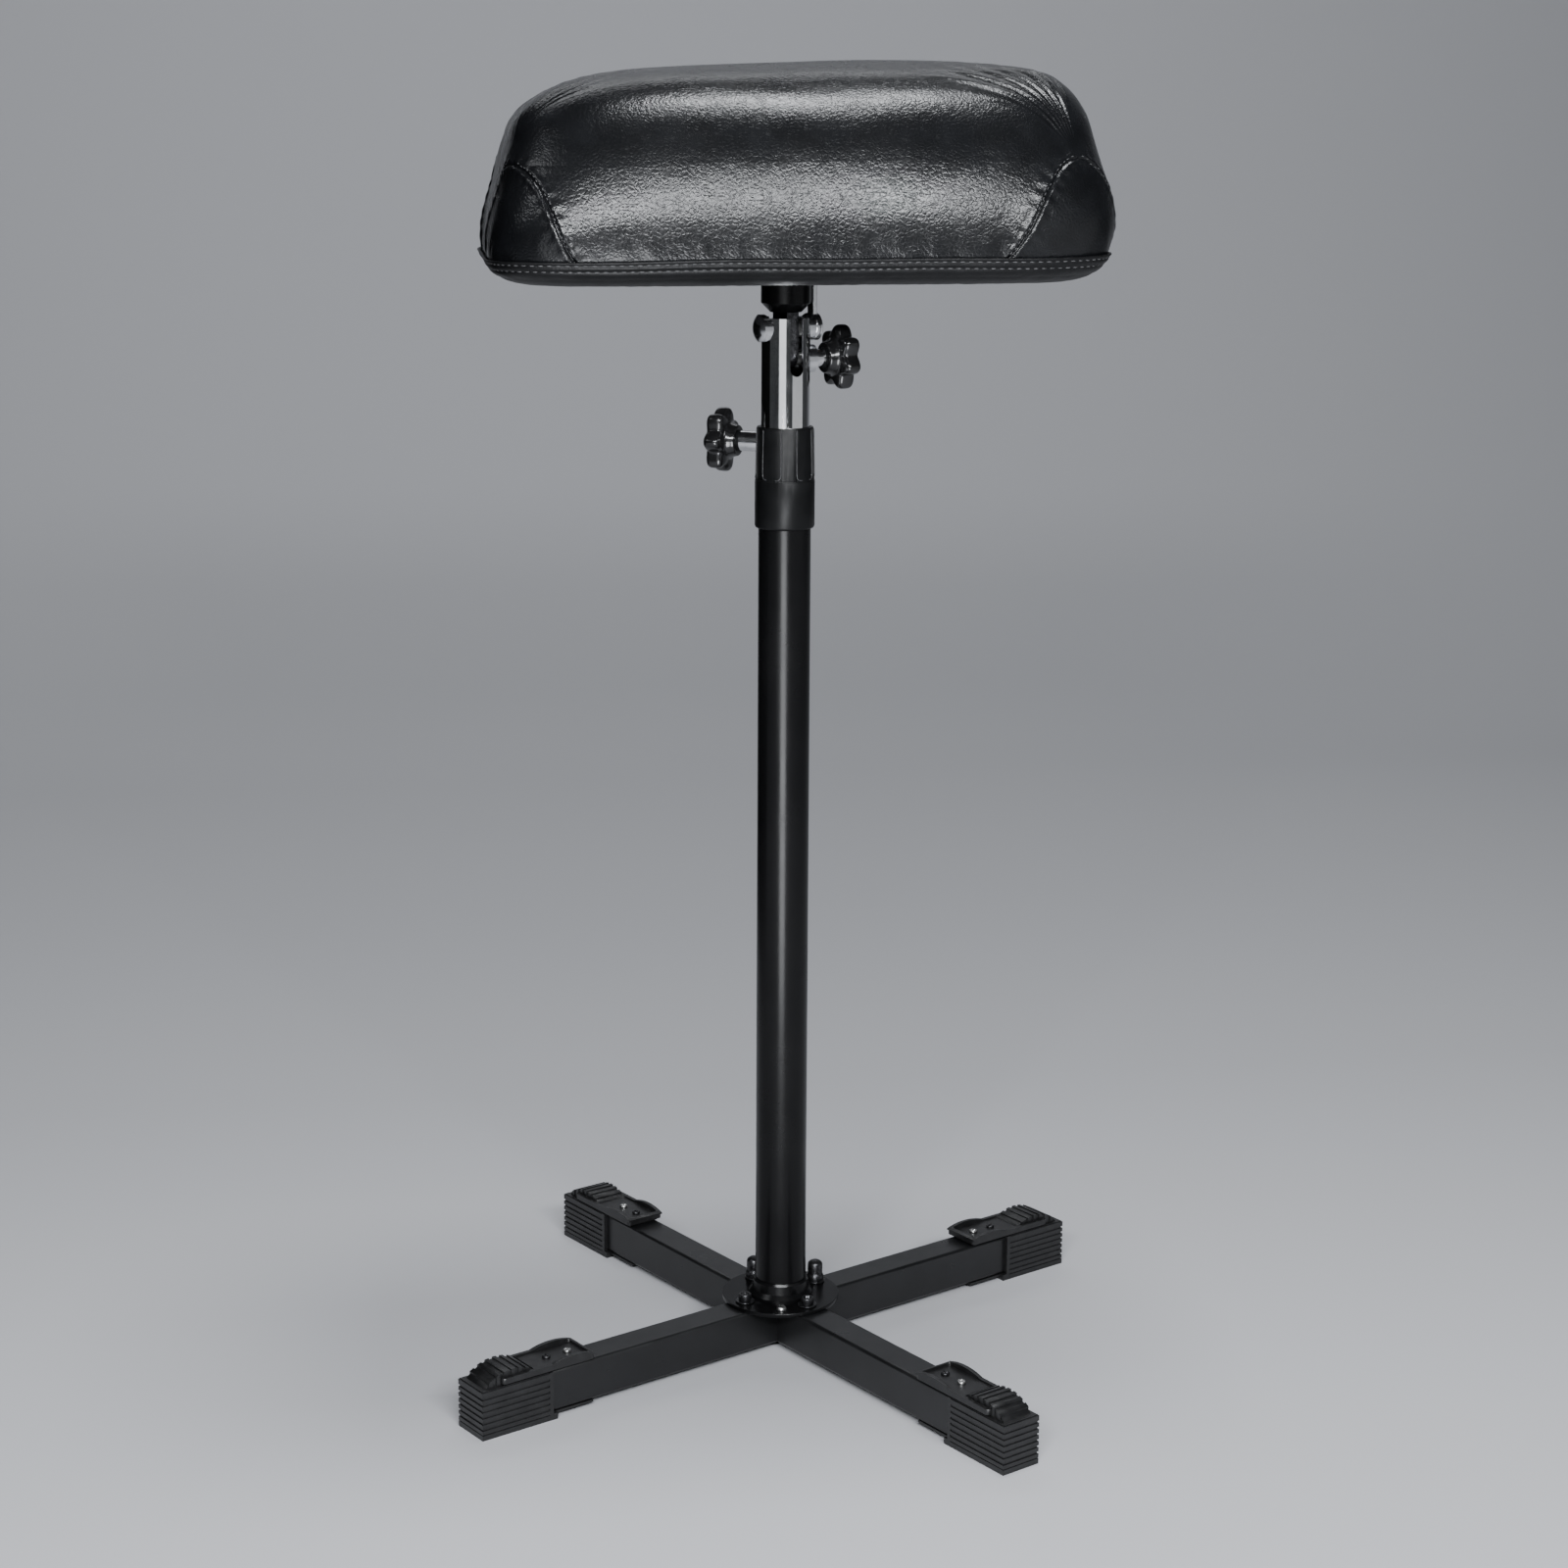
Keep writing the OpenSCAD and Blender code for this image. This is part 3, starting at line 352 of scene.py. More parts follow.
# %% [markdown]
# ## Rounded edges
#
# The CAD pieces have crisp machined edges. On the real stand every edge is a little rounded, and
# that thin rounding is what catches the light. A Bevel modifier after a Weld adds it without
# touching the CAD mesh itself.

# %% Round the edges
# Width of the rounding in millimetres, and the pieces that have it
ROUNDED = {0.35: FEET, 1.0: LEGS, 0.6: ["collar", "flange_plate"], 0.5: ["head_plate"], 0.4: ["tilt_strap"]}
SHARP_EDGE = radians(35)
FLAT_FACE = radians(0.6)


def soften(name, width):
    """Rounds the sharp edges of a CAD piece by a width in millimetres."""
    piece = nodes[name]
    weld = piece.modifiers.new("weld", "WELD")
    weld.merge_threshold = 0.00001
    flat = piece.modifiers.new("flat", "DECIMATE")
    flat.decimate_type = "DISSOLVE"
    flat.angle_limit = FLAT_FACE
    bevel = piece.modifiers.new("bevel", "BEVEL")
    bevel.width = width * MM
    bevel.segments = 2
    bevel.limit_method = "ANGLE"
    bevel.angle_limit = SHARP_EDGE
    bevel.use_clamp_overlap = True
    bevel.harden_normals = True


for width, names in ROUNDED.items():
    for name in names:
        soften(name, width)
print("rounded pieces:", sum(len(names) for names in ROUNDED.values()))

# %% [markdown]
# ## The pad's form
#
# The pad is a foam block pulled into shape by its cover. Seen from the side, the wall swells low
# down and then leans in to a crown. That side profile is a short list of points with a smooth
# curve through them, and everything that lies on the pad takes its distance from it.

# %% The pad's side profile
PAD_LENGTH, PAD_HALF, PAD_HEIGHT = 364.0, 108.0, 125.0
pad_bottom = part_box("pad_cover")[0][2] / MM

# Height share, and how far that level is drawn in as a share of half the pad's depth
SIDE_PROFILE = [(0, 0.195), (0.03, 0.107), (0.075, 0.048), (0.14, 0.014), (0.26, 0), (0.4, 0.019), (0.55, 0.065),
                (0.68, 0.13), (0.79, 0.204), (0.875, 0.296), (0.94, 0.426), (0.975, 0.579), (1.0, 0.833)]


def smooth_through(points, per_step):
    """A smooth curve through a list of pairs."""
    p = np.array([points[0]] + list(points) + [points[-1]], float)
    out = []
    for k in range(1, len(p) - 2):
        for t in np.linspace(0, 1, per_step, endpoint=False):
            out.append(0.5 * (2 * p[k] + (p[k + 1] - p[k - 1]) * t
                              + (2 * p[k - 1] - 5 * p[k] + 4 * p[k + 1] - p[k + 2]) * t ** 2
                              + (3 * p[k] - p[k - 1] - 3 * p[k + 1] + p[k + 2]) * t ** 3))
    out.append(p[-2])
    return np.array(out)


profile_curve = smooth_through(SIDE_PROFILE, 12)


def drawn_at(share):
    """How far the level at a height share is drawn in, in millimetres."""
    return PAD_HALF * float(np.interp(share, profile_curve[:, 0], profile_curve[:, 1]))


print("the crown is drawn in by", round(drawn_at(1.0)), "mm and half way up the wall by", round(drawn_at(0.5)), "mm")

# %% [markdown]
# ### The levels
#
# Seen from above, each level is a rounded rectangle whose sides are drawn in a little between the
# corners. The upper levels are rounder than the lower ones, because the leather is gathered over
# the corners there, and the crown falls a little towards the ends. Each level is a function of its
# height share and a direction, so that panels, seams, band and stitches can all lie exactly on it.

# %% The pad's levels
# How far the middles of the sides are drawn in between the corners, and how sudden that is
SIDE_DRAW, SIDE_SUDDEN = 4.0, 8
# How far the crown falls at each end, the pad's slope, and how much fuller each end is
LEFT_FALL, RIGHT_FALL = 5.0, 1.0
LEAN = 0.012
LEFT_EXTRA, RIGHT_EXTRA = -9.0, 4.0
# Squareness of the lowest level, and how much of it the crown loses
SQUARE, SQUARE_LOSS = 5.2, 2.3


def eased_step(value, start, end):
    """Rises smoothly from 0 at the start value to 1 at the end value."""
    t = np.clip((value - start) / (end - start), 0, 1)
    return t * t * (3 - 2 * t)


def level_height(share, x):
    """Height above the floor in millimetres. This pad sits a little higher and fuller at its right end."""
    fall = np.where(x > 0, RIGHT_FALL, LEFT_FALL) * share ** 2 * (2 * x / PAD_LENGTH) ** 2
    return pad_bottom + share * PAD_HEIGHT - fall + LEAN * x * (0.35 + 0.65 * min(share / 0.2, 1))


def level_points(share, turns, out=0.0):
    """Points of one level, in millimetres from the pad's middle, at the given turns in radians."""
    square = SQUARE - SQUARE_LOSS * share ** 2
    c, s = np.cos(turns), np.sin(turns)
    x = np.sign(c) * np.abs(c) ** (2 / square)
    y = np.sign(s) * np.abs(s) ** (2 / square)
    # The ends lean in less than the long sides, each in its own way
    left_draw = 1 - 0.6 * eased_step(share, 0.35, 0.65) + 0.5 * eased_step(share, 0.72, 1.0)
    right_draw = 1 - 0.40 * eased_step(share, 0.45, 0.78)
    end_draw = drawn_at(share) * np.where(c > 0, right_draw, left_draw)
    end_extra = np.where(c > 0, RIGHT_EXTRA * eased_step(share, 0.02, 0.25), LEFT_EXTRA * eased_step(share, 0.05, 0.8))
    half_l = PAD_LENGTH / 2 + SIDE_DRAW - end_draw + end_extra + out
    half_d = PAD_HALF + SIDE_DRAW - drawn_at(share) + out
    px = x * half_l - np.sign(x) * np.abs(x) ** SIDE_SUDDEN * SIDE_DRAW * (1 - y ** 2)
    py = y * half_d - np.sign(y) * np.abs(y) ** SIDE_SUDDEN * SIDE_DRAW * (1 - x ** 2)
    return np.stack([px, py], axis=1)


print("the left and right ends of the crown are at", level_points(1.0, np.array([pi, 0]))[:, 0].round(), "mm")

# %% [markdown]
# ### Places along a level
#
# Thread and seams are laid out by length, as on a tape measure, and not by direction. A level is
# therefore also kept as a table of distances along it, in which any place can be looked up.

# %% Walk along a level
def distances_along(path):
    """Distance of each point of a path from the path's start."""
    return np.concatenate([[0], np.cumsum(np.linalg.norm(np.diff(path, axis=0), axis=1))])


def level_by_length(share, out=0.0, samples=1440):
    """One level as a table of distance along it, with its corners' places, starting at +X."""
    ring = level_points(share, np.linspace(0, 2 * pi, samples + 1), out)
    along = distances_along(ring)
    corners = [along[samples // 8 * k] for k in (1, 3, 5, 7)]
    return ring, along, corners


def on_level(level, distance):
    ring, along, _ = level
    wrapped = np.mod(distance, along[-1])
    return np.stack([np.interp(wrapped, along, ring[:, 0]), np.interp(wrapped, along, ring[:, 1])], axis=-1)


print("the pad's lowest level is", round(level_by_length(0.0)[1][-1]), "mm round")

# %% [markdown]
# ## The cover's panels
#
# The cover is sewn from one large panel and four corner pieces shaped like pointed arches. To
# get true seams the mesh has to follow them, so each level is divided at the eight seam points:
# the columns between two seams belong to one panel. Above the tips of the arches the corner
# pieces have no width left and the large panel closes over the top. At the left end the two arches
# are set nearer the middle of the end, as in the photograph.

# %% Panel layout
# Height shares of the hem's upper edge, of the arches' tips, and where their shift has faded out
HEM_TOP, ARCH_TOP, SHIFT_END = 0.115, 0.565, 0.96
# For each corner from the back right one anticlockwise: how far its tip is shifted along the level,
# then the half width and the curve of its first side and of its second side
ARCHES = [(0, 46, 0.5, 50, 0.5), (32, 60, 0.42, 42, 0.42), (-32, 42, 0.42, 60, 0.42), (0, 50, 0.54, 46, 0.55)]
LONG_COLUMNS, SHORT_COLUMNS, ARCH_COLUMNS = 50, 30, 14
ARCH_ROWS, CROWN_ROWS, CAP_ROWS = 18, 20, 6
# How far the leather is folded in under the board, and the crown's last rise, in millimetres
FOLD, CROWN_RISE = 34.0, 1.6


def eased(columns, pull=0.7):
    """Fractions from 0 to 1 that crowd together at both ends."""
    f = np.linspace(0, 1, columns + 1)
    return f - pull * np.sin(2 * pi * f) / (2 * pi)


def level_row(share, with_arches, out=0.0):
    """Points of one level, column by column. The level runs from the back right corner anticlockwise."""
    level = level_by_length(share, out)
    total, corners = level[1][-1], level[2]
    h = min(max((share - HEM_TOP) / (ARCH_TOP - HEM_TOP), 0.0), 1.0)
    starts, ends = [], []
    still_shifted = 1 - eased_step(share, ARCH_TOP, SHIFT_END)
    for corner, (shift, first_half, first_curve, second_half, second_curve) in zip(corners, ARCHES):
        tip = corner + shift * still_shifted
        starts.append(tip - first_half * (1 - h) ** first_curve)
        ends.append(tip + second_half * (1 - h) ** second_curve)
    starts.append(starts[0] + total)
    places = []
    for k in range(4):
        start, end, following = starts[k], ends[k], starts[k + 1]
        if with_arches:
            places.append(start + eased(ARCH_COLUMNS)[:-1] * (end - start))
        columns = LONG_COLUMNS if k % 2 == 0 else SHORT_COLUMNS
        places.append(end + eased(columns)[:-1] * (following - end))
    flat = on_level(level, np.concatenate(places))
    return np.column_stack([flat, level_height(share, flat[:, 0])])


low_columns = 4 * ARCH_COLUMNS + 2 * LONG_COLUMNS + 2 * SHORT_COLUMNS
high_columns = 2 * LONG_COLUMNS + 2 * SHORT_COLUMNS
print("columns round the pad:", low_columns, "below the arch tips and", high_columns, "above")

# %% [markdown]
# ## The cover's cage
#
# The cage is the cover before it is filled: rows of quads up the walls, triangles that close each
# arch into its tip, and rings over the crown. Under the board the leather is folded in, so the
# rows start there. The list of held points says which places can't move when the pad is filled:
# the seams, the hem and the fold.

# %% Build the cover's cage
arch_shares = [HEM_TOP + (ARCH_TOP - HEM_TOP) * (1 - (1 - j / ARCH_ROWS) ** 1.5) for j in range(ARCH_ROWS)]
crown_shares = [ARCH_TOP + (1 - ARCH_TOP) * (j / CROWN_ROWS) ** 0.8 for j in range(CROWN_ROWS + 1)]

cage_rows = []
for inwards, lift in ((FOLD, 1.6), (FOLD, 0.2), (FOLD * 0.72, 0.0), (FOLD * 0.45, 0.0), (FOLD * 0.2, 0.0)):
    row = level_row(0.0, True, -inwards)
    row[:, 2] = pad_bottom + lift
    cage_rows.append(row)
cage_rows += [level_row(share, True) for share in [0.0, 0.03, 0.06, 0.09] + arch_shares]
first_arch_row = len(cage_rows) - ARCH_ROWS
crown_rows = [level_row(share, False) for share in crown_shares]
top = crown_rows[-1]
for j in range(1, CAP_ROWS):
    f = 1 - j / CAP_ROWS
    crown_rows.append(np.column_stack([top[:, :2] * f, level_height(1.0, top[:, 0] * f) + CROWN_RISE * (1 - f ** 2)]))

cage = np.concatenate(cage_rows + crown_rows + [[[0.0, 0.0, float(level_height(1.0, 0.0)) + CROWN_RISE]]])
crown_start = len(cage_rows) * low_columns
cage_faces = ring_faces(len(cage_rows), low_columns) + ring_faces(len(crown_rows), high_columns, crown_start)

held = set(range((first_arch_row + 1) * low_columns))
seams = []
last = (len(cage_rows) - 1) * low_columns
low_column, high_column = 0, 0
for k in range(4):
    tip = crown_start + high_column
    for c in (low_column, low_column + ARCH_COLUMNS):
        line = [row * low_columns + c for row in range(first_arch_row, len(cage_rows))] + [tip]
        seams.append(line)
        held.update(line)
    for c in range(ARCH_COLUMNS):
        cage_faces.append((last + low_column + c, last + low_column + c + 1, tip))
    low_column += ARCH_COLUMNS
    columns = LONG_COLUMNS if k % 2 == 0 else SHORT_COLUMNS
    for c in range(columns):
        cage_faces.append((last + low_column + c, last + (low_column + c + 1) % low_columns,
                           crown_start + (high_column + c + 1) % high_columns, crown_start + high_column + c))
    low_column += columns
    high_column += columns
middle = len(cage) - 1
for c in range(high_columns):
    cage_faces.append((middle - high_columns + c, middle - high_columns + (c + 1) % high_columns, middle))
# A lid over the opening under the board closes the form while it is filled
lid = (tuple(range(low_columns - 1, -1, -1)),)

print("cage:", len(cage), "points,", len(cage_faces), "faces,", len(seams), "seams")

# %% [markdown]
# ## Points as arrays
#
# The next steps work on thousands of points at once. Array sums do that in a fraction of the time
# of a loop, so small helpers move points and normals between mesh and array, and a search tree
# answers which point lies nearest to a place.

# %% Points of a mesh
def as_array(mesh):
    flat = np.empty(len(mesh.vertices) * 3)
    mesh.vertices.foreach_get("co", flat)
    return flat.reshape(-1, 3)


def normals_of(mesh):
    return np.array([v.normal[:] for v in mesh.vertices])


def put_back(mesh, points):
    mesh.vertices.foreach_set("co", points.ravel())
    mesh.update()


def near_tree(points):
    tree = kdtree.KDTree(len(points))
    for k, point in enumerate(points):
        tree.insert(point, k)
    tree.balance()
    return tree

# %% [markdown]
# ## Filling the pad
#
# A cushion's fullness comes from foam pressing the leather outwards everywhere except where it is
# sewn. That could be sculpted by hand, but Blender's cloth solver does it by itself: the cage
# starts a little inside the finished form, the seams and hem are pinned, and pressure swells the
# panels between them. The distance that any point travels is capped and then shared with its
# neighbours, so that the panels swell evenly and the pad keeps the size it was measured to.

# %% Fill the pad with pressure
# In millimetres: how far inside the cage starts, the longest move, and the reach of the sharing
SLACK, MOST, SPREAD = 1.6, 1.8, 18.0
# Distance from the sewn points over which the slack and the move grow to their full size
SLACK_REACH, MOVE_REACH = 16.0, 12.0
FRAMES, PRESSURE = 20, 1.8

pad = make_piece("leather_pad", cage * MM, list(cage_faces) + list(lid), black_leather)
start = as_array(pad.data)
held_tree = near_tree([cage[i] for i in sorted(held)])
near = np.array([held_tree.find(point)[2] for point in cage])
slack = SLACK * np.minimum(near / SLACK_REACH, 1.0) ** 0.6
put_back(pad.data, start - normals_of(pad.data) * (slack * MM)[:, None])

begin = as_array(pad.data)
pinned = pad.vertex_groups.new(name="sewn")
pinned.add(sorted(held), 1.0, "REPLACE")
cloth = pad.modifiers.new("filling", "CLOTH")
cloth.settings.quality = 6
cloth.settings.mass = 0.25
cloth.settings.tension_stiffness = 12
cloth.settings.compression_stiffness = 12
cloth.settings.shear_stiffness = 6
cloth.settings.bending_stiffness = 0.6
cloth.settings.use_pressure = True
cloth.settings.uniform_pressure_force = PRESSURE
cloth.settings.effector_weights.gravity = 0.0
cloth.settings.vertex_group_mass = "sewn"
cloth.collision_settings.use_collision = False
cloth.point_cache.frame_start, cloth.point_cache.frame_end = 1, FRAMES
for step in range(1, FRAMES + 1):
    bpy.context.scene.frame_set(step)
apply_modifiers(pad)
moved = as_array(pad.data) - begin
length = np.linalg.norm(moved, axis=1)
moved *= np.where(length > MOST * MM, MOST * MM / np.maximum(length, 1e-9), 1.0)[:, None]
around = near_tree(begin)
shared = np.array([np.mean([moved[i] for _, i, _ in around.find_range(point, SPREAD * MM)], axis=0)
                   for point in begin])
put_back(pad.data, begin + shared * np.minimum(near / MOVE_REACH, 1.0)[:, None])
pad.vertex_groups.clear()
bpy.context.scene.frame_set(1)
print("pressure moved the leather by up to", round(float(length.max()) / MM, 1), "mm, mostly",
      round(float(np.median(length)) / MM, 1), "mm")

# %% [markdown]
# ## A finer mesh
#
# The cage has quads of about five millimetres, which is too coarse for a seam of two. Subdivision
# splits each quad into sixteen and rounds the form. The lid goes first, since the real cover is
# open under the board. A search tree over the seams will tell how far each point is from one.

# %% Make the cover finer
seam_paths = [smooth_through([tuple(cage[i]) for i in line], 6) for line in seams]
seam_along = np.concatenate([distances_along(path) for path in seam_paths])
seam_number = np.concatenate([[k] * len(path) for k, path in enumerate(seam_paths)])
seam_tree = near_tree(np.concatenate(seam_paths))

bm = bmesh.new()
bm.from_mesh(pad.data)
bmesh.ops.delete(bm, geom=[face for face in bm.faces if len(face.verts) > 8], context="FACES_ONLY")
bm.to_mesh(pad.data)
bm.free()
finer = pad.modifiers.new("finer", "SUBSURF")
finer.levels = finer.render_levels = 2
apply_modifiers(pad)
print("finer cover:", len(pad.data.vertices), "points,", len(seam_along), "points on the seams")

# %% [markdown]
# ## Seams and puckers
#
# A seam is a narrow valley with a raised lip on both sides, and puckers are small waves that the
# thread pulls up beside it and above the hem. All of this is relief: a height for each point, as a
# function of its distance to the seam or hem, so it stays soft and even. A slow wave over the
# whole cover keeps the leather from looking inflated.

# %% Press in seams and puckers
# Depth of a seam, and heights of its lips, of the puckers and of the leather's slow unevenness, in millimetres
SEAM_DEPTH, LIP_HEIGHT, SEAM_PUCKER, HEM_PUCKER, SLOW_WAVE = 1.6, 0.28, 0.2, 0.18, 0.5
# Length of one pucker beside a seam, and number of waves for each radian round the pad
PUCKER_LENGTH, HEM_PUCKERS = 8.5, 62


def bell(distance, middle, width):
    return np.exp(-((distance - middle) / width) ** 2)


def wander(points, scale, seed):
    """Smooth noise between -1 and 1 at points in millimetres."""
    return np.array([noise.noise(Vector((p[0] / scale + seed, p[1] / scale, p[2] / scale))) for p in points])


skin = as_array(pad.data) / MM
outward = normals_of(pad.data)
found = [seam_tree.find(point) for point in skin]
gap = np.array([f[2] for f in found])
along = np.array([seam_along[f[1]] for f in found])
which = np.array([seam_number[f[1]] for f in found])
height = (skin[:, 2] - pad_bottom) / PAD_HEIGHT

relief = -SEAM_DEPTH * bell(gap, 0, 1.0) + LIP_HEIGHT * bell(gap, 2.6, 1.5)
uneven = wander(skin, 14.0, 3.0)
relief += SEAM_PUCKER * np.sin(along * 2 * pi / PUCKER_LENGTH + which * 1.7 + 2.2 * uneven) * bell(gap, 4.0, 3.5)
hem_gap = (height - HEM_TOP) * PAD_HEIGHT
round_the_pad = np.arctan2(skin[:, 1] / PAD_HALF, skin[:, 0] / (PAD_LENGTH / 2))
relief += HEM_PUCKER * np.sin(round_the_pad * HEM_PUCKERS + 4 * uneven) * bell(hem_gap, 7.0, 7.0) * (height > 0.02)
relief += SLOW_WAVE * wander(skin, 70.0, 11.0) * eased_step(height, 0.1, 0.3)
print("relief of seams and puckers from", round(float(relief.min()), 1), "to", round(float(relief.max()), 1), "mm")

# %% [markdown]
# ## Creases
#
# Creases fan out from the tip of each arch, where one flat panel has to become a corner. They are
# folds that follow the direction seen from the tip, bent a little by noise so that no two run
# alike, and they fade out on all sides. Those of the right front corner are the strongest.

# %% Press in the creases
# Folds for each turn of a fan
FAN_FOLDS = 34
# Tip, strength of its creases, and the plan angles between which they run
CREASES = {0: (1.1, 10, 84), 1: (1.0, 10, 84), 2: (1.0, 8, 80), 3: (1.8, 12, 88)}
for k, (strength, low_angle, high_angle) in CREASES.items():
    tip = cage[seams[2 * k][-1]]
    inward = np.array([-np.sign(tip[0]), -np.sign(tip[1])])
    offset = (skin[:, :2] - tip[:2]) * inward
    away = np.linalg.norm(skin - tip, axis=1)
    angle = np.degrees(np.arctan2(offset[:, 1], offset[:, 0]))
    bend = angle + 0.10 * away + 2.4 * wander(skin, 45.0, 20.0 + k)
    folds = (0.5 + 0.5 * np.cos(np.radians(bend) * FAN_FOLDS)) ** 1.6
    folds *= 0.65 + 0.5 * wander(skin, 30.0, 40.0 + k)
    # They fade out at both sides of the fan, near and far from the tip, and below it
    window = eased_step(angle, low_angle - 6, low_angle + 16) * (1 - eased_step(angle, high_angle - 14, high_angle + 8))
    window *= eased_step(away, 6, 34) * (1 - eased_step(away, 62, 128))
    window *= eased_step(skin[:, 2], tip[2] - 6, tip[2] + 8)
    relief += strength * (folds - 0.35) * window

put_back(pad.data, (skin + outward * relief[:, None]) * MM)
for polygon in pad.data.polygons:
    polygon.use_smooth = True
print("detailed pad:", len(skin), "points, relief from", round(float(relief.min()), 1), "to",
      round(float(relief.max()), 1), "mm")

# %% [markdown]
# ## The hem band
#
# A strip of the same leather is sewn round the lower edge with two rows of thread, and turns
# under the board. Its section is a short list of points: a rounded upper edge, two shallow
# valleys where the thread pulls it in, and a roll at the bottom. The section is swept along the
# pad's own levels, and a slow wave keeps the edge from looking machined.

# %% Build the hem band
# Height above the pad's bottom, and distance outside the pad's form, in millimetres
HEM_SECTION = [(13.6, -0.9), (14.9, 0.2), (15.5, 0.9), (15.3, 1.7), (14.6, 1.9), (13.9, 1.5), (13.4, 1.2),
               (12.9, 1.5), (12.0, 2.0), (10.9, 2.0), (10.2, 1.6), (9.7, 1.25), (9.2, 1.6), (8.2, 2.1),
               (6.6, 2.0), (5.3, 1.8), (4.6, 1.3), (4.0, 1.5), (2.8, 1.9), (1.6, 1.7), (0.7, 1.0),
               (0.1, -0.2), (-0.2, -2.4), (-0.3, -7.0)]
STITCH_ROWS = [(13.35, 1.35), (9.65, 1.4)]
HEM_STEPS = 720
hem_length = level_by_length(0.0)[1][-1]


def hem_line(high, out, distances):
    """Points of the band at a height above the pad's bottom and a distance outside its form."""
    level = level_by_length(max(high, 0.0) / PAD_HEIGHT, out)
    flat = on_level(level, distances / hem_length * level[1][-1])
    wave = (0.35 * np.sin(distances / 47.0) + 0.25 * np.sin(distances / 17.0 + 1.0)) * min(max(high / 8.0, 0.0), 1.0)
    z = level_height(high / PAD_HEIGHT, flat[:, 0]) if high > 0 else pad_bottom + high + LEAN * flat[:, 0] * 0.35
    return np.column_stack([flat, z + wave])


hem_distances = np.arange(HEM_STEPS) / HEM_STEPS * hem_length
hem_levels = [hem_line(high, out, hem_distances) for high, out in HEM_SECTION]
hem_faces = [face[::-1] for face in ring_faces(len(hem_levels), HEM_STEPS)]
hem = make_piece("hem_strip", np.concatenate(hem_levels) * MM, hem_faces, hem_leather)
bumps = normals_of(hem.data) * (0.22 * wander(as_array(hem.data) / MM, 6.0, 5.0) * MM)[:, None]
put_back(hem.data, as_array(hem.data) + bumps)
print("hem strip:", len(hem.data.vertices), "points,", round(hem_length), "mm long")

# %% [markdown]
# ## Stitches
#
# Each stitch is a small spindle of thread that dives into the leather at both ends. All
# stitches of a seam are made as one mesh. They follow a list of places and directions, so the same
# helper sews the hem and the seams of the cover.

# %% A helper that sews


def sew(name, places, along_dirs, up_dirs, length, thickness):
    """Makes one mesh of thread spindles. Sizes are in millimetres."""
    points, faces = [], []
    for place, forward, up in zip(places, along_dirs, up_dirs):
        forward = forward / np.linalg.norm(forward)
        up = up - forward * float(np.dot(up, forward))
        up = up / np.linalg.norm(up)
        side = np.cross(forward, up)
        first = len(points)
        for t in (-0.5, -0.36, -0.15, 0.15, 0.36, 0.5):
            thick = thickness * (1 - (2 * abs(t)) ** 4) * 0.5 + 0.06
            lift = thickness * 0.35 * (1 - (2 * t) ** 2) - thickness * 0.15
            for k in range(6):
                a = pi / 3 * k
                points.append(place + forward * t * length + up * (lift + thick * sin(a))
                              + side * thick * cos(a))
        faces.extend(ring_faces(6, 6, first))
    return make_piece(name, np.array(points) * MM, faces, thread)

# %% [markdown]
# ### The hem's two rows
#
# The band is sewn on with two rows of thread that lie in its two shallow valleys. Each row is
# divided evenly, so that the last stitch meets the first one without a gap.

# %% Sew the hem
# Length and thickness of a stitch, and the distance from one to the next, in millimetres
HEM_STITCH, HEM_PITCH = (2.9, 0.62), 4.4
places, directions, ups = [], [], []
stitches_round = int(hem_length / HEM_PITCH)
for high, out in STITCH_ROWS:
    spots = (np.arange(stitches_round) + 0.5) / stitches_round * hem_length
    here, before, after = (hem_line(high, out, spots + d) for d in (0, -1.5, 1.5))
    for k, forward in enumerate(after - before):
        places.append(here[k])
        directions.append(forward)
        ups.append(np.array([forward[1], -forward[0], 0.0]))
hem_thread = sew("hem_stitches", places, directions, ups, *HEM_STITCH)
print("hem stitches:", len(places))

# %% [markdown]
# ### The seams' rows
#
# Beside each seam of the cover runs one finer row, on the side nearer to the middle of the pad's
# length. Its stitches are laid on the pressed mesh itself, since the filling has moved it.

# %% Sew the seams
# As for the hem, but finer
SEAM_STITCH, SEAM_PITCH = (1.8, 0.4), 3.3
pad_points, pad_normals = as_array(pad.data) / MM, normals_of(pad.data)
skin_tree = near_tree(pad_points)
places, directions, ups = [], [], []
for path in seam_paths:
    steps = distances_along(path)
    for s in np.arange(4.0, steps[-1] - 2.0, SEAM_PITCH):
        here = np.array([np.interp(s, steps, path[:, i]) for i in range(3)])
        after = np.array([np.interp(s + 1.5, steps, path[:, i]) for i in range(3)])
        _, index, _ = skin_tree.find(here)
        side = np.cross(after - here, pad_normals[index])
        side = side / np.linalg.norm(side) * (1.5 if (here[0] > 0) == (side[0] < 0) else -1.5)
        _, index, _ = skin_tree.find(here + side)
        places.append(pad_points[index] + pad_normals[index] * 0.02)
        directions.append(after - here)
        ups.append(pad_normals[index])
seam_thread = sew("seam_stitches", places, directions, ups, *SEAM_STITCH)
print("seam stitches:", len(places))

# %% [markdown]
# ## The underside
#
# Turned over, the stand shows how the cover is finished: the leather is pulled round the board
# and folded flat, and a black felted cloth hides the raw edges. The cloth is a plain
# sheet with a square opening for the head plate, pulled tight, so it only has tiny waves.

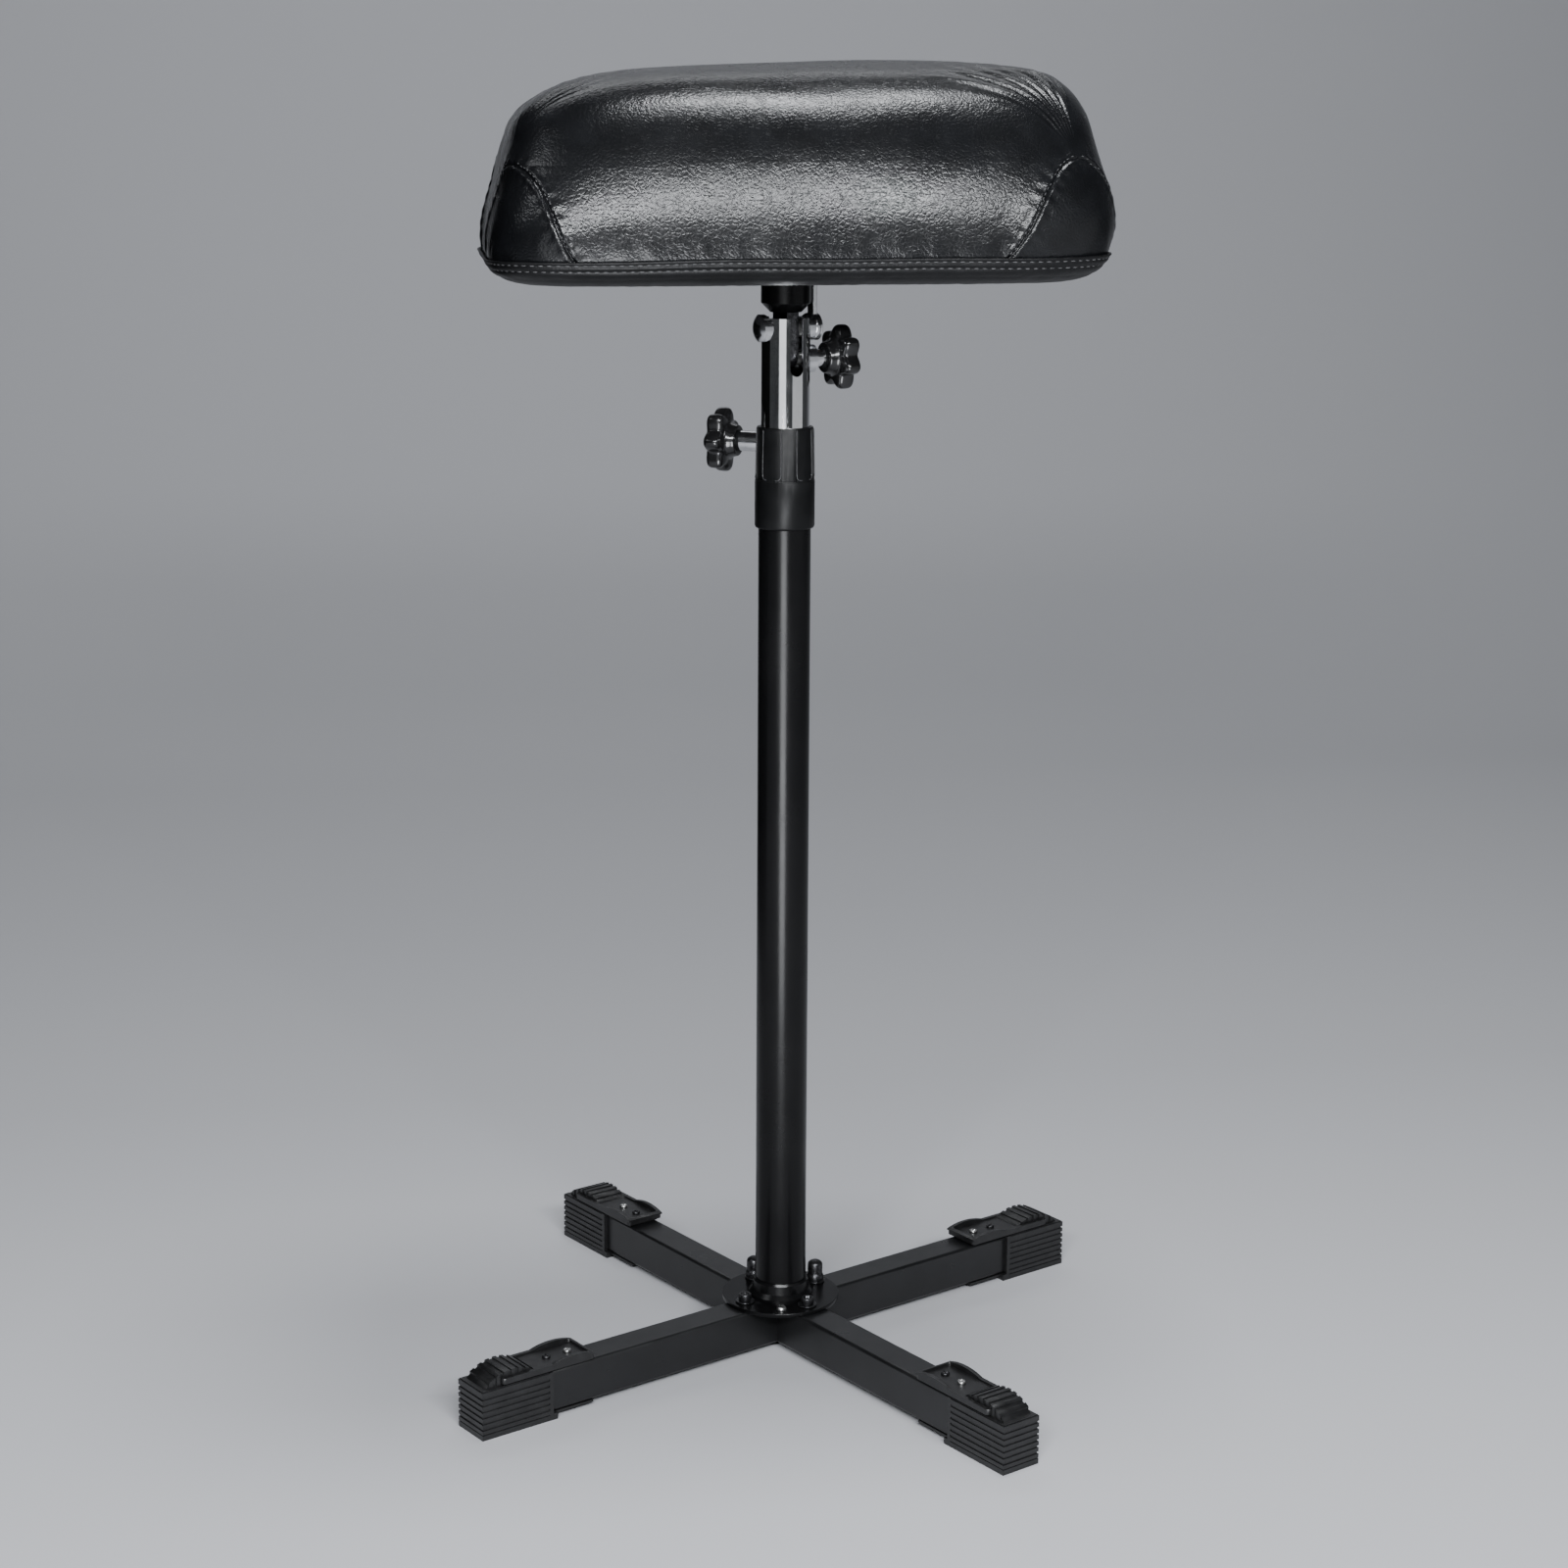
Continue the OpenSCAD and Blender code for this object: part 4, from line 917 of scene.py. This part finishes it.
# %% Stretch the cloth under the board
plate_low, plate_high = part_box("head_plate")
cloth_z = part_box("under_cloth")[1][2] / MM - 0.25
opening = (plate_high[0] - plate_low[0]) / MM / 2 + 1.2
CLOTH_COLUMNS, CLOTH_ROWS = 288, 16
turns = np.linspace(0, 2 * pi, CLOTH_COLUMNS, endpoint=False)
rim = level_by_length(0.0, -FOLD / 2)
rim = on_level(rim, np.linspace(0, rim[1][-1], CLOTH_COLUMNS, endpoint=False))
angles = np.arctan2(rim[:, 1], rim[:, 0])
reach = opening / np.maximum(np.abs(np.cos(angles)), np.abs(np.sin(angles)))
hole = np.column_stack([np.cos(angles) * reach, np.sin(angles) * reach])
cloth_levels = []
for j in range(CLOTH_ROWS + 1):
    f = j / CLOTH_ROWS
    flat = rim * (1 - f) + hole * f
    wave = -0.12 - 0.25 * sin(pi * f) * (1 + wander(np.column_stack([flat, flat[:, 0] * 0]), 26.0, 8.0))
    cloth_levels.append(np.column_stack([flat, cloth_z + wave * (0.2 if j in (0, CLOTH_ROWS) else 1.0)]))
cloth_faces = [face[::-1] for face in ring_faces(CLOTH_ROWS + 1, CLOTH_COLUMNS)]
under = make_piece("stretched_cloth", np.concatenate(cloth_levels) * MM, cloth_faces, dust_cloth)
thick = under.modifiers.new("felt", "SOLIDIFY")
thick.thickness = 0.0004
thick.offset = 0

# %% [markdown]
# ### Staples
#
# The cloth is held by a row of staples near its edge. A staple is a wire bent over the cloth, and
# a six-sided tube along a few points is enough for it.

# %% Staple the cloth
# Each point of a staple's bend has a share of its width and a drop
STAPLE_PITCH, STAPLE_WIDTH = 30.0, 9.6
STAPLE_BEND = [(-0.5, 0.5), (-0.47, -0.15), (-0.40, -0.42), (0.40, -0.42), (0.47, -0.15), (0.5, 0.5)]
points, faces = [], []
staple_line = level_by_length(0.0, -FOLD / 2 - 5)
for s in np.arange(12.0, staple_line[1][-1] - 6, STAPLE_PITCH):
    here = on_level(staple_line, np.array([s - 4.5, s + 4.5]))
    across = (here[1] - here[0]) / np.linalg.norm(here[1] - here[0])
    aside = np.array([-across[1], across[0]])
    first = len(points)
    for t, drop in STAPLE_BEND:
        centre = (here[0] + here[1]) / 2 + across * t * STAPLE_WIDTH
        for k in range(6):
            a = pi / 3 * k
            tilt = 1.0 if abs(t) < 0.45 else 0.4
            offset = aside * 0.5 * cos(a) + across * (0.0 if tilt == 1.0 else 0.3 * sin(a))
            points.append(np.array([*(centre + offset), cloth_z - 0.25 + drop * 0.9 + 0.3 * sin(a) * tilt]))
    faces.extend(ring_faces(len(STAPLE_BEND), 6, first))
staples = make_piece("cloth_staples", np.array(points) * MM, faces, zinc_steel)
print("staples:", len(points) // (6 * len(STAPLE_BEND)))

# %% [markdown]
# ## Star knobs
#
# A star knob is moulded in one piece, so its lobes run into each other in one wavy outline and
# no edge is sharp. The simplest way to get that is a loft in polar coordinates: rows along the
# screw's axis, each with a radius that varies seven times round. Rows over the hub are circles,
# and rows over the star take the wavy outline, drawn in at both rims for the rounding.

# %% Mould the star knobs
KNOB_COLUMNS, LOBES = 168, 7
STAR_LOW, STAR_HIGH = 15.4, 20.0
# Height in metres and direction in degrees of the two clamps
HEIGHT_CLAMP, TILT_CLAMP = (0.5765, 152), (0.627, 20)
# Distance along the axis from the hub's end, and radius there, or inset from the star's outline
HUB_ROWS = [(3.2, 4.6), (0.6, 4.6), (0.0, 5.2), (0.0, 8.6), (0.25, 9.2), (0.8, 9.55), (2.5, 9.9), (4.4, 10.5),
            (5.4, 11.2), (5.9, 12.0)]
STAR_ROWS = [(6.05, 4.48), (6.15, 2.72), (6.5, 2.0), (7.1, 1.0), (8.0, 0.35), (9.2, 0.0), (11.5, 0.0), (13.6, 0.1),
             (14.9, 0.5), (15.8, 1.2), (16.4, 2.2), (16.8, 3.6), (17.1, 5.4)]
FACE_ROWS = [(17.35, 8.2), (17.5, 6.0), (17.3, 4.9), (16.9, 4.3), (16.75, 3.2), (16.75, 1.4)]


def star_knob(name, cad_name, height, turn, start_turn):
    """Makes a knob whose screw axis leaves the pole at a height and in a direction in degrees."""
    turns = np.linspace(0, 2 * pi, KNOB_COLUMNS, endpoint=False)
    wave = (0.5 + 0.5 * np.cos((turns + radians(start_turn)) * LOBES)) ** 0.85
    star = STAR_LOW + (STAR_HIGH - STAR_LOW) * wave
    rows = [(z, np.full(KNOB_COLUMNS, r)) for z, r in HUB_ROWS]
    rows += [(z, np.maximum(star - inset, 11.8)) for z, inset in STAR_ROWS]
    rows += [(z, np.full(KNOB_COLUMNS, r)) for z, r in FACE_ROWS]
    points = [(r * cos(t), r * sin(t), z) for z, radii in rows for t, r in zip(turns, radii)]
    faces = [f[::-1] for f in ring_faces(len(rows), KNOB_COLUMNS)]
    points.append((0, 0, FACE_ROWS[-1][0]))
    last = (len(rows) - 1) * KNOB_COLUMNS
    faces += [(last + (k + 1) % KNOB_COLUMNS, last + k, len(points) - 1)[::-1] for k in range(KNOB_COLUMNS)]
    # The hub starts where the CAD knob starts
    direction = Vector((cos(radians(turn)), sin(radians(turn)), 0))
    hub = float((as_array(nodes[cad_name].data) @ np.array(direction)).min())
    place = (Matrix.Translation(Vector((0, 0, height)) + direction * hub)
             @ Matrix.Rotation(radians(turn), 4, "Z") @ Matrix.Rotation(radians(90), 4, "Y"))
    knob = make_piece(name, [place @ (Vector(p) * MM) for p in points], faces, polished_plastic)
    smooth = knob.modifiers.new("smooth", "SUBSURF")
    smooth.levels = smooth.render_levels = 1
    apply_modifiers(knob)
    print(name, "starts", round(hub / MM, 2), "mm from the pole's axis")
    return knob


height_star = star_knob("height_star", "height_knob", *HEIGHT_CLAMP, 12)
tilt_star = star_knob("tilt_star", "tilt_knob", *TILT_CLAMP, 20)

# %% [markdown]
# ## Screws, nuts and the rivet
#
# Fasteners are turned parts, so a lathe helper fits them: a profile of radius and height is spun
# round the axis. Like fasteners are joined in one mesh, each at its own place and turn.

# %% A small lathe
def turned(profile, columns=36, recess=None):
    """Points and faces of a turned head. The recess is a function of x and y that gives a depth."""
    turns = np.linspace(0, 2 * pi, columns, endpoint=False)
    low_edge = profile[0][1] + 0.5
    ring = [(radius * cos(t), radius * sin(t), z) for radius, z in profile for t in turns]
    points = [(x, y, z - (recess(x, y) if recess and z > low_edge else 0)) for x, y, z in ring]
    points.append((0, 0, profile[-1][1] - (recess(0, 0) if recess else 0)))
    last = (len(profile) - 1) * columns
    cap = [(last + k, last + (k + 1) % columns, len(points) - 1) for k in range(columns)]
    return points, ring_faces(len(profile), columns) + cap


def join_turned(name, shapes, finish):
    """One mesh from turned shapes, each with its place and its turn in degrees."""
    points, faces = [], []
    for (shape_points, shape_faces), place, turn in shapes:
        first = len(points)
        matrix = Matrix.Translation(Vector(place)) @ Matrix.Rotation(radians(turn), 4, "Z")
        points.extend([(matrix @ Vector(p)) * MM for p in shape_points])
        faces.extend([tuple(first + i for i in face) for face in shape_faces])
    return make_piece(name, points, faces, finish)


def round_corner(radius, z, size, steps=4):
    """Profile points of a quarter round between a wall and a top."""
    quarter = [radians(90) * k / steps for k in range(steps + 1)]
    return [(radius - size + size * cos(a), z - size + size * sin(a)) for a in quarter]

# %% [markdown]
# ### Heads and their recesses
#
# The flange has tall domed nuts at the back, socket screws at the front and one small rivet, and
# the feet have small cross screws. A recess is pressed into a head by lowering the points that lie
# inside it: six-sided for a socket screw, a cross for the small screws and the rivet.

# %% Turn the heads
def hex_socket(x, y):
    across = max(abs(x * cos(a) + y * sin(a)) for a in (0, radians(60), radians(120)))
    return 2.2 * min(max((2.35 - across) / 0.25, 0.0), 1.0)


def cross_slot(x, y):
    arm = min(abs(x), abs(y))
    return 0.8 * min(max((0.55 - arm) / 0.3, 0.0), 1.0) * min(max((1.9 - hypot(x, y)) / 0.5, 0.0), 1.0)


washer = turned([(3.2, 0.0), (5.7, 0.0)] + round_corner(6.0, 1.1, 0.35) + [(4.0, 1.1)])
cap_nut = turned([(5.2, 1.1), (5.35, 1.5), (5.35, 4.8), (5.0, 5.4), (4.65, 5.7), (4.7, 6.2), (4.75, 11.6)]
                 + [(4.75 * cos(a), 11.6 + 3.1 * sin(a)) for a in (0.3, 0.6, 0.85, 1.1, 1.3)]
                 + [(0.6, 14.65)], 48)
socket_head = turned([(3.9, 1.0), (4.05, 1.3), (4.05, 4.6)] + round_corner(4.05, 5.4, 0.6)
                     + [(r, 5.4) for r in (3.0, 2.75, 2.5, 2.3, 2.0, 1.0)], 48, hex_socket)
rivet_head = turned([(2.9, 0.0), (3.1, 0.5), (3.0, 1.3), (2.6, 2.1), (1.9, 2.7), (1.0, 3.0), (0.5, 3.0)],
                    36, cross_slot)
foot_head = turned([(2.5, -1.5), (2.65, -0.9), (2.6, -0.5), (2.45, -0.25), (2.2, -0.1), (1.9, -0.03)]
                   + [(r, 0) for r in (1.6, 1.3, 1.0, 0.7, 0.4)], 40, cross_slot)
print("turned shapes:", [len(shape[0]) for shape in (washer, cap_nut, socket_head, rivet_head, foot_head)], "points")

# %% [markdown]
# ### Fixings in their places
#
# The four legs stand at right angles, so a place on the base is a distance from the pole and an
# angle from the first leg. No two screws were tightened to the same angle, so each has its own
# turn, and bright and dark screws are mixed as in the photograph.

# %% Fit the fixings
# Direction of the first leg in degrees, then distances from the pole's axis in millimetres
BASE_TURN, BOLT_RING, RIVET_RING, RIVET_TURN = 29.3, 28.0, 30.0, 234
FOOT_SCREWS = (162.4, 177.4)
flange_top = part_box("flange_plate")[1][2] / MM
screw_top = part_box("foot_screws")[1][2] / MM


def on_base(reach, turn, height):
    """A place on the base at a distance from the pole's axis and an angle from the first leg."""
    angle = radians(BASE_TURN + turn)
    return reach * cos(angle), reach * sin(angle), height


flange_shapes, bright_shapes, dark_shapes = [], [], []
for number in range(4):
    place = on_base(BOLT_RING, 90 * number, flange_top)
    flange_shapes.append((washer, place, 0))
    flange_shapes.append((cap_nut if number < 2 else socket_head, place, 25 * number))
    for k, reach in enumerate(FOOT_SCREWS):
        shape = (foot_head, on_base(reach, 90 * number, screw_top), 33 * number + 50 * k)
        (bright_shapes if k == (number % 2) else dark_shapes).append(shape)
flange_fixings = join_turned("flange_fixings", flange_shapes, blackened_steel)
rivet = join_turned("front_rivet", [(rivet_head, on_base(RIVET_RING, RIVET_TURN, flange_top), 10)], zinc_steel)
bright_screws = join_turned("foot_screws_bright", bright_shapes, zinc_steel)
dark_screws = join_turned("foot_screws_dark", dark_shapes, blackened_steel)
print("fixings:", len(flange_shapes), "on the flange and", len(bright_shapes) + len(dark_shapes), "on the feet")

# %% [markdown]
# ## The collar's edges
#
# The panels moulded on the collar have rounded rims that catch a thin line of light. They are made as slim beads, half
# sunk in the collar: down both sides of every recess and a little way round the foot of the panel beside it. Their
# finish is lighter than the collar's, a painted highlight for that line of light.

# %% Bead the collar's edges
# Sizes in millimetres and degrees, as on the CAD collar, with heights from the collar's lower end
RIM_BEAD = 0.34
COLLAR_HEIGHT, SLEEVE_TOP, PANEL_HEIGHT = 61.7, 29.2, 31.4
FOOT_R, TOP_R = 18.05, 17.4
RECESSES, HALF_RECESS = 5, 15.5
# Height, and distance from the recess's side, of each point of a bead
BEAD_LINE = [(60.2, 0.0), (50.0, 0.0), (42.0, 0.0), (35.0, 0.0), (32.2, 0.25), (31.1, 1.0), (30.7, 2.2), (30.6, 3.6)]
collar_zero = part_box("collar")[1][2] / MM - COLLAR_HEIGHT

rim_points, rim_faces = [], []
for number in range(RECESSES):
    for side in (-1, 1):
        turn = 360 / RECESSES * number - 90 + side * HALF_RECESS
        # The edge beside the clamp's boss would run through it, so it stays plain
        if abs(turn % 360 - HEIGHT_CLAMP[1]) < 20:
            continue
        path = []
        for height, sideways in BEAD_LINE:
            r = FOOT_R + (TOP_R - FOOT_R) * (height - SLEEVE_TOP) / PANEL_HEIGHT
            a = radians(turn) + side * sideways / r
            out = np.array([cos(a), sin(a), 0.0])
            path.append((out * r + (0, 0, collar_zero + height), out))
        first = len(rim_points)
        for k, (place, out) in enumerate(path):
            along_path = path[min(k + 1, len(path) - 1)][0] - path[max(k - 1, 0)][0]
            across = np.cross(along_path / np.linalg.norm(along_path), out)
            for t in (radians(45 * j) for j in range(8)):
                rim_points.append(place + (out * cos(t) + across * sin(t)) * RIM_BEAD)
        rim_faces.extend(ring_faces(len(path), 8, first))
collar_rims = make_piece("collar_rims", np.array(rim_points) * MM, rim_faces, highlight_rim_plastic)
print("collar rims:", len(rim_faces), "faces")

# %% [markdown]
# ## The floor
#
# The set is a plain pale sweep of paper. Its colour is darkened towards the back as painted shade, in place of the
# light's fall-off there. It rises behind the stand in a quarter circle, so that the photograph's view shows no horizon.

# %% Roll out the paper
floor_finish = Finish("floor_paper", (0.555, 0.56, 0.58), 0.9, specular=0.0)
parts_of_place = floor_finish.add("SeparateXYZ")
floor_finish.link(floor_finish.place, parts_of_place.inputs["Vector"])
# Painted shade: the paper's colour grows darker towards the back, standing in for the light's fall-off
depth = floor_finish.spread(parts_of_place.outputs["Y"], 0.0, 1.0, -0.4, 0.5)
floor_finish.shades(depth, (0.555, 0.558, 0.58), (0.425, 0.428, 0.445), 0.0, 1.0)
floor_finish.bump(floor_finish.noise(60.0, 4.0), 0.0002, 0.2)

SWEEP_START, SWEEP_RADIUS = 1.6, 1.2
quarter = [pi / 2 * k / 24 for k in range(25)]
sweep_rows = [(SWEEP_START + SWEEP_RADIUS * sin(t), SWEEP_RADIUS * (1 - cos(t))) for t in quarter]
sweep_rows = [(-4.0, 0.0), (1.0, 0.0)] + sweep_rows + [(SWEEP_START + SWEEP_RADIUS, 4.0)]
floor_points = [(x, y, z) for y, z in sweep_rows for x in (-5.0, 5.0)]
floor_faces = [(2 * k, 2 * k + 1, 2 * k + 3, 2 * k + 2) for k in range(len(sweep_rows) - 1)]
floor = make_piece("studio_floor", floor_points, floor_faces, floor_finish.material)
print("paper rows:", len(sweep_rows))

# %% [markdown]
# ## The light
#
# Black leather shows almost nothing but reflections, so the boxes stand where the photograph has
# its highlights: a long narrow strip in front for the pad's front wall and a small box nearly
# overhead for the crown, with a dark gap between them. Boxes that only draw lines on the pole, the
# mast and the knobs are kept out of the diffuse light, so that they don't change the floor.

# %% Set the lights
def aim_at(thing, place, target):
    thing.location = place
    thing.rotation_euler = (Vector(target) - Vector(place)).to_track_quat("-Z", "Y").to_euler()


def soft_box(name, place, target, width, height, power, only_in_gloss=False):
    """An area light of a size in metres and a power in watts, aimed at a point."""
    lamp = bpy.data.lights.new(name, "AREA")
    lamp.shape = "RECTANGLE"
    lamp.size = width
    lamp.size_y = height
    lamp.energy = power
    lamp.color = (0.95, 0.97, 1.0)
    box = bpy.data.objects.new(name, lamp)
    aim_at(box, place, target)
    box.visible_diffuse = not only_in_gloss
    bpy.context.scene.collection.objects.link(box)
    return box


# A black card that only shows in reflections, as photographers use to draw an edge on chrome
card_finish = Finish("card_black", (0.003, 0.003, 0.003), 0.95, specular=0.0)
card_finish.bump(card_finish.noise(900.0, 2.0), 0.0001, 0.2)
card_corners = [(-0.65, -0.9, 0), (0.65, -0.9, 0), (0.65, 0.9, 0), (-0.65, 0.9, 0)]
card = make_piece("left_card", card_corners, [(0, 1, 2, 3)], card_finish.material)
aim_at(card, (-0.75, 0.45, 0.6), (0, 0, 0.6))
card.visible_camera = card.visible_shadow = card.visible_diffuse = False

soft_box("front_box", (-0.12, -2.05, 1.38), (0, 0, 0.72), 1.9, 0.15, 85)
soft_box("crown_box", (0.17, -0.02, 2.15), (0, 0.0, 0.79), 0.36, 0.42, 18.5)
soft_box("low_box", (-0.7, -1.8, 0.42), (0, 0, 0.42), 1.1, 0.8, 3.6, only_in_gloss=True)
soft_box("pole_strip", (-0.13, -0.75, 0.24), (0, 0, 0.24), 0.3, 0.48, 8.5, only_in_gloss=True)
soft_box("right_panel", (0.95, -0.73, 0.62), (0, 0, 0.62), 1.25, 0.55, 1.1, only_in_gloss=True)
soft_box("left_box", (-1.7, -0.5, 1.9), (0, 0, 0.75), 0.9, 0.6, 8, only_in_gloss=True)
soft_box("backdrop_box", (0, 1.9, 2.3), (0, 2.1, 0.0), 2.6, 0.6, 14.5)
fill = soft_box("floor_fill", (0, -1.7, 1.75), (0, -0.8, 0), 1.7, 0.8, 17)
fill.visible_glossy = False
world = bpy.data.worlds.new("studio")
world.use_nodes = True
surroundings = world.node_tree.nodes["Background"].inputs
surroundings["Color"].default_value = (0.9, 0.95, 1.0, 1)
surroundings["Strength"].default_value = 0.05
bpy.context.scene.world = world

# %% [markdown]
# ## Bind the pieces to the moving bodies
#
# Each piece made here rides on the body that carries it and stands for the CAD nodes whose form it shows, which are
# hidden.

# %% Ride and replace
for piece in (pad, hem, hem_thread, seam_thread, under, staples):
    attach(piece, "head")
for piece in (flange_fixings, rivet, bright_screws, dark_screws, collar_rims):
    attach(piece, "stand")
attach(height_star, "height_grip")
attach(tilt_star, "tilt_grip")
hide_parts("pad_cover", "pad_foam")
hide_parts("hem_band")
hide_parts("under_cloth")
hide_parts("height_knob")
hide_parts("tilt_knob")
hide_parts("flange_bolts")
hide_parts("foot_screws")
